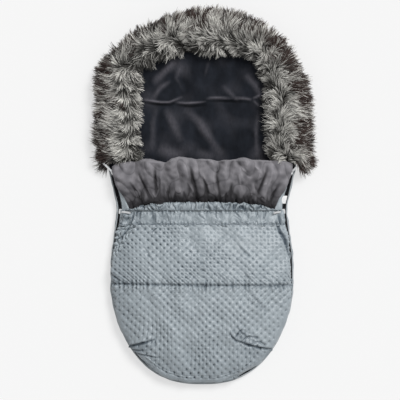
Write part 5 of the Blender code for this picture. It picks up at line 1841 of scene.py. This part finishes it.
def hair_group():
    """Flat strands on a skin: each bends over along its comb, curls and is drawn to its tuft's middle."""
    group, tree, given = new_group(
        "combed strands",
        (
            ("Density", "Float", 480000.0),
            ("Length", "Float", 0.040),
            ("Width", "Float", 0.0026),
            ("Large Tuft", "Float", 0.021),
            ("Small Tuft", "Float", 0.0036),
            ("Seed", "Int", 7),
            ("Material", "Material", None),
        ),
    )
    times, total, about, named = tree.times, tree.total, tree.about, tree.named

    # Roots by chance on the skin, each with a flat strip of four faces
    skin = {"Mesh": given["Geometry"], "Density": given["Density"], "Seed": given["Seed"]}
    roots = tree.out("GeometryNodeDistributePointsOnFaces", skin)
    chance = tree.out("FunctionNodeRandomValue", {"Seed": given["Seed"]}, data_type="FLOAT_VECTOR")
    roots = tree.keep(roots, "chance", chance, "FLOAT_VECTOR")
    roots = tree.keep(roots, "root", tree.out("GeometryNodeInputPosition"), "FLOAT_VECTOR")
    grid = {"Size X": 1.0, "Size Y": 1.0, "Vertices X": 2, "Vertices Y": 5}
    strip = tree.out("GeometryNodeMeshGrid", grid)
    flat = tree.split(tree.out("GeometryNodeInputPosition"))
    strip = tree.keep(strip, "side", flat["X"])
    strip = tree.keep(strip, "along", tree.math("ADD", flat["Y"], 0.5))
    many = tree.out("GeometryNodeInstanceOnPoints", {"Points": roots, "Instance": strip})
    hair = tree.out("GeometryNodeRealizeInstances", {0: many})

    root, comb = named("root", "FLOAT_VECTOR"), named("comb", "FLOAT_VECTOR")
    luck = tree.split(named("chance", "FLOAT_VECTOR"))
    along = named("along")
    squared = times(along, along)
    flat_root = tree.vector("MULTIPLY", root, (1, 1, 0))

    def tuft(size):
        """The middle of the tuft that a strand belongs to, and three numbers by chance for that tuft."""
        inputs = {"Vector": flat_root, "Scale": tree.math("DIVIDE", 1.0, given[size])}
        cell = tree.add("ShaderNodeTexVoronoi", inputs, voronoi_dimensions="2D").outputs
        return cell["Position"], tree.split(cell["Color"])

    def shift(spot, way, amount):
        scaled = tree.out("ShaderNodeVectorMath", {0: way, "Scale": amount}, operation="SCALE")
        return tree.vector("ADD", spot, scaled)

    # How a strand stands: its way, tilt, length and curl
    (large, large_kind), (small, small_kind) = tuft("Large Tuft"), tuft("Small Tuft")
    turn = total(about(large_kind["X"], 0.35), about(small_kind["X"], 0.40))
    turn = times(total(0.5, times(named("wild"), 0.6)), turn)
    turn = {"Vector": comb, "Angle": total(turn, about(luck["X"], 0.30))}
    way = tree.out("ShaderNodeVectorRotate", turn, rotation_type="Z_AXIS")
    sidewards = tree.vector("CROSS_PRODUCT", way, (0, 0, 1))
    tilt = total(named("lean"), about(small_kind["Z"], 0.16), about(luck["X"], 0.14))
    long = times(given["Length"], total(0.98, about(small_kind["Y"], 0.40)))
    long = times(long, total(0.98, about(luck["Y"], 0.40)))
    spike = times(small_kind["Y"], luck["Y"], 0.022)
    ahead = total(tree.math("SINE", tilt), HAIR_BEND)
    long = tree.math("MINIMUM", long, tree.math("DIVIDE", total(named("room"), spike), ahead))
    reach = total(times(tree.math("SINE", tilt), along), times(squared, HAIR_BEND))
    rise = tree.math("SUBTRACT", times(tree.math("COSINE", tilt), along), times(squared, named("droop")))
    curl = total(about(small_kind["Z"], 0.4), about(large_kind["Y"], 0.7), about(luck["Y"], 0.5))

    # Where each point of it goes: along its way, toward the middles of its tufts, then out to its edges
    spot = shift(root, way, times(reach, long))
    spot = shift(spot, sidewards, times(squared, curl, long))
    spot = tree.vector("ADD", spot, tree.combine(0, 0, times(rise, long)))
    for middle, share, power in ((large, 0.10, 2.0), (small, 0.44, 1.2)):
        pull = tree.vector("MULTIPLY", tree.vector("SUBTRACT", middle, flat_root), (1, 1, 0))
        spot = shift(spot, pull, times(tree.math("POWER", along, power), share))
    across = tree.vector("ADD", sidewards, tree.combine(0, 0, about(luck["Z"], 1.6)))
    thin = times(given["Width"], tree.math("SUBTRACT", 1.0, times(squared, 0.85)))
    spot = shift(spot, tree.vector("NORMALIZE", across), times(named("side"), thin))
    parts = tree.split(spot)
    hang = tree.math("MAXIMUM", parts["Z"], HAIR_FLOOR_Z)
    placed = {"Position": tree.combine(parts["X"], parts["Y"], hang)}

    # Brown where it ends near the trim's edge or lies in a dark part, and its tone from dark to pale
    left = tree.math("SUBTRACT", named("edge"), times(reach, long))
    left = total(left, about(large_kind["Y"], 0.034), about(small_kind["X"], 0.046))
    shade = total(named("shade"), about(small_kind["X"], 0.7))
    brown = tree.math("MAXIMUM", tree.ramp(left, 0.024, 0.046, 1.0, 0.0), tree.ramp(shade, 0.25, 0.60))
    brown = times(brown, tree.ramp(small_kind["Z"], 0.70, 0.82, 1.0, 0.15))
    tone = total(times(luck["Z"], 0.46), times(small_kind["Y"], 0.46), times(large_kind["X"], 0.08))
    tone = tree.ramp(total(tone, times(named("light"), 0.10)), 0.38, 0.74)
    placed["Geometry"] = tree.keep(tree.keep(hair, "brown", brown), "tone", tone)
    tree.close(tree.out("GeometryNodeSetPosition", placed), given["Material"])
    return group


# Stitches of the band: in from its edges, how far they reach across, and how deep they sit
STITCH_ROWS = (("band_lower", BAND_START_Y + 0.0036), ("band_upper", BAND_END_Y - 0.0030))
STITCH_SIZE = (0.0026, 0.0007, 0.0006)
STITCH_REACH = 0.93
STITCH_DEPTH = 0.0008


class FOOTMUFF_OT_stitches(bpy.types.Operator):
    """The two rows of stitches on the waist band"""

    bl_idname = "footmuff.stitches"
    bl_label = "Stitches"

    def execute(self, context):
        shares = np.linspace(-STITCH_REACH, STITCH_REACH, 300)
        for word, y in STITCH_ROWS:
            lines = [cover_surface(np.full(300, y + step), shares, 0.0) for step in (-0.001, 0, 0.001)]
            up = normals(np.stack(lines))[1]
            path = lines[1] - up * STITCH_DEPTH
            row = beads(f"stitches_{word}", path, sizes().stitch_pitch, STITCH_SIZE, "stitch", up)
            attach(row, "body_cover")
        return {"FINISHED"}


class FOOTMUFF_OT_hardware(bpy.types.Operator):
    """Metal finish of the sliders, pullers and top stops"""

    bl_idname = "footmuff.hardware"
    bl_label = "Zip hardware"

    def execute(self, context):
        for word, _ in SIDES:
            for name in ("slider_lower", "puller_lower", "slider_upper", "puller_upper", "zip_top_stop"):
                repaint(f"{name}_{word}", "silver_metal")
        return {"FINISHED"}


class FOOTMUFF_PT_panel(bpy.types.Panel):
    """Sizes, colours and the pieces in the order that they are made"""

    bl_label = "Footmuff"
    bl_space_type = "VIEW_3D"
    bl_region_type = "UI"
    bl_category = "Footmuff"

    def draw(self, context):
        for group in (context.scene.footmuff_sizes, context.scene.footmuff_colours):
            column = self.layout.column()
            for key in group.__annotations__:
                column.prop(group, key)
        for operator in OPERATORS:
            self.layout.operator(operator.bl_idname)


OPERATORS = (
    FOOTMUFF_OT_stage,
    FOOTMUFF_OT_padded_back,
    FOOTMUFF_OT_quilted_cover,
    FOOTMUFF_OT_waist,
    FOOTMUFF_OT_collar,
    FOOTMUFF_OT_zip,
    FOOTMUFF_OT_fur,
    FOOTMUFF_OT_stitches,
    FOOTMUFF_OT_hardware,
)
CLASSES = (FootmuffColours, FootmuffSizes, *OPERATORS, FOOTMUFF_PT_panel)


def register():
    for item in CLASSES:
        bpy.utils.register_class(item)
    bpy.types.Scene.footmuff_sizes = PointerProperty(type=FootmuffSizes)
    bpy.types.Scene.footmuff_colours = PointerProperty(type=FootmuffColours)


def unregister():
    del bpy.types.Scene.footmuff_colours
    del bpy.types.Scene.footmuff_sizes
    for item in reversed(CLASSES):
        bpy.utils.unregister_class(item)


def main():
    register()
    footmuff = bpy.ops.footmuff
    footmuff.stage()
    footmuff.padded_back()
    footmuff.quilted_cover()
    footmuff.waist()
    footmuff.collar()
    footmuff.zip()
    footmuff.fur()
    footmuff.stitches()
    footmuff.hardware()


if __name__ == "__main__":
    main()
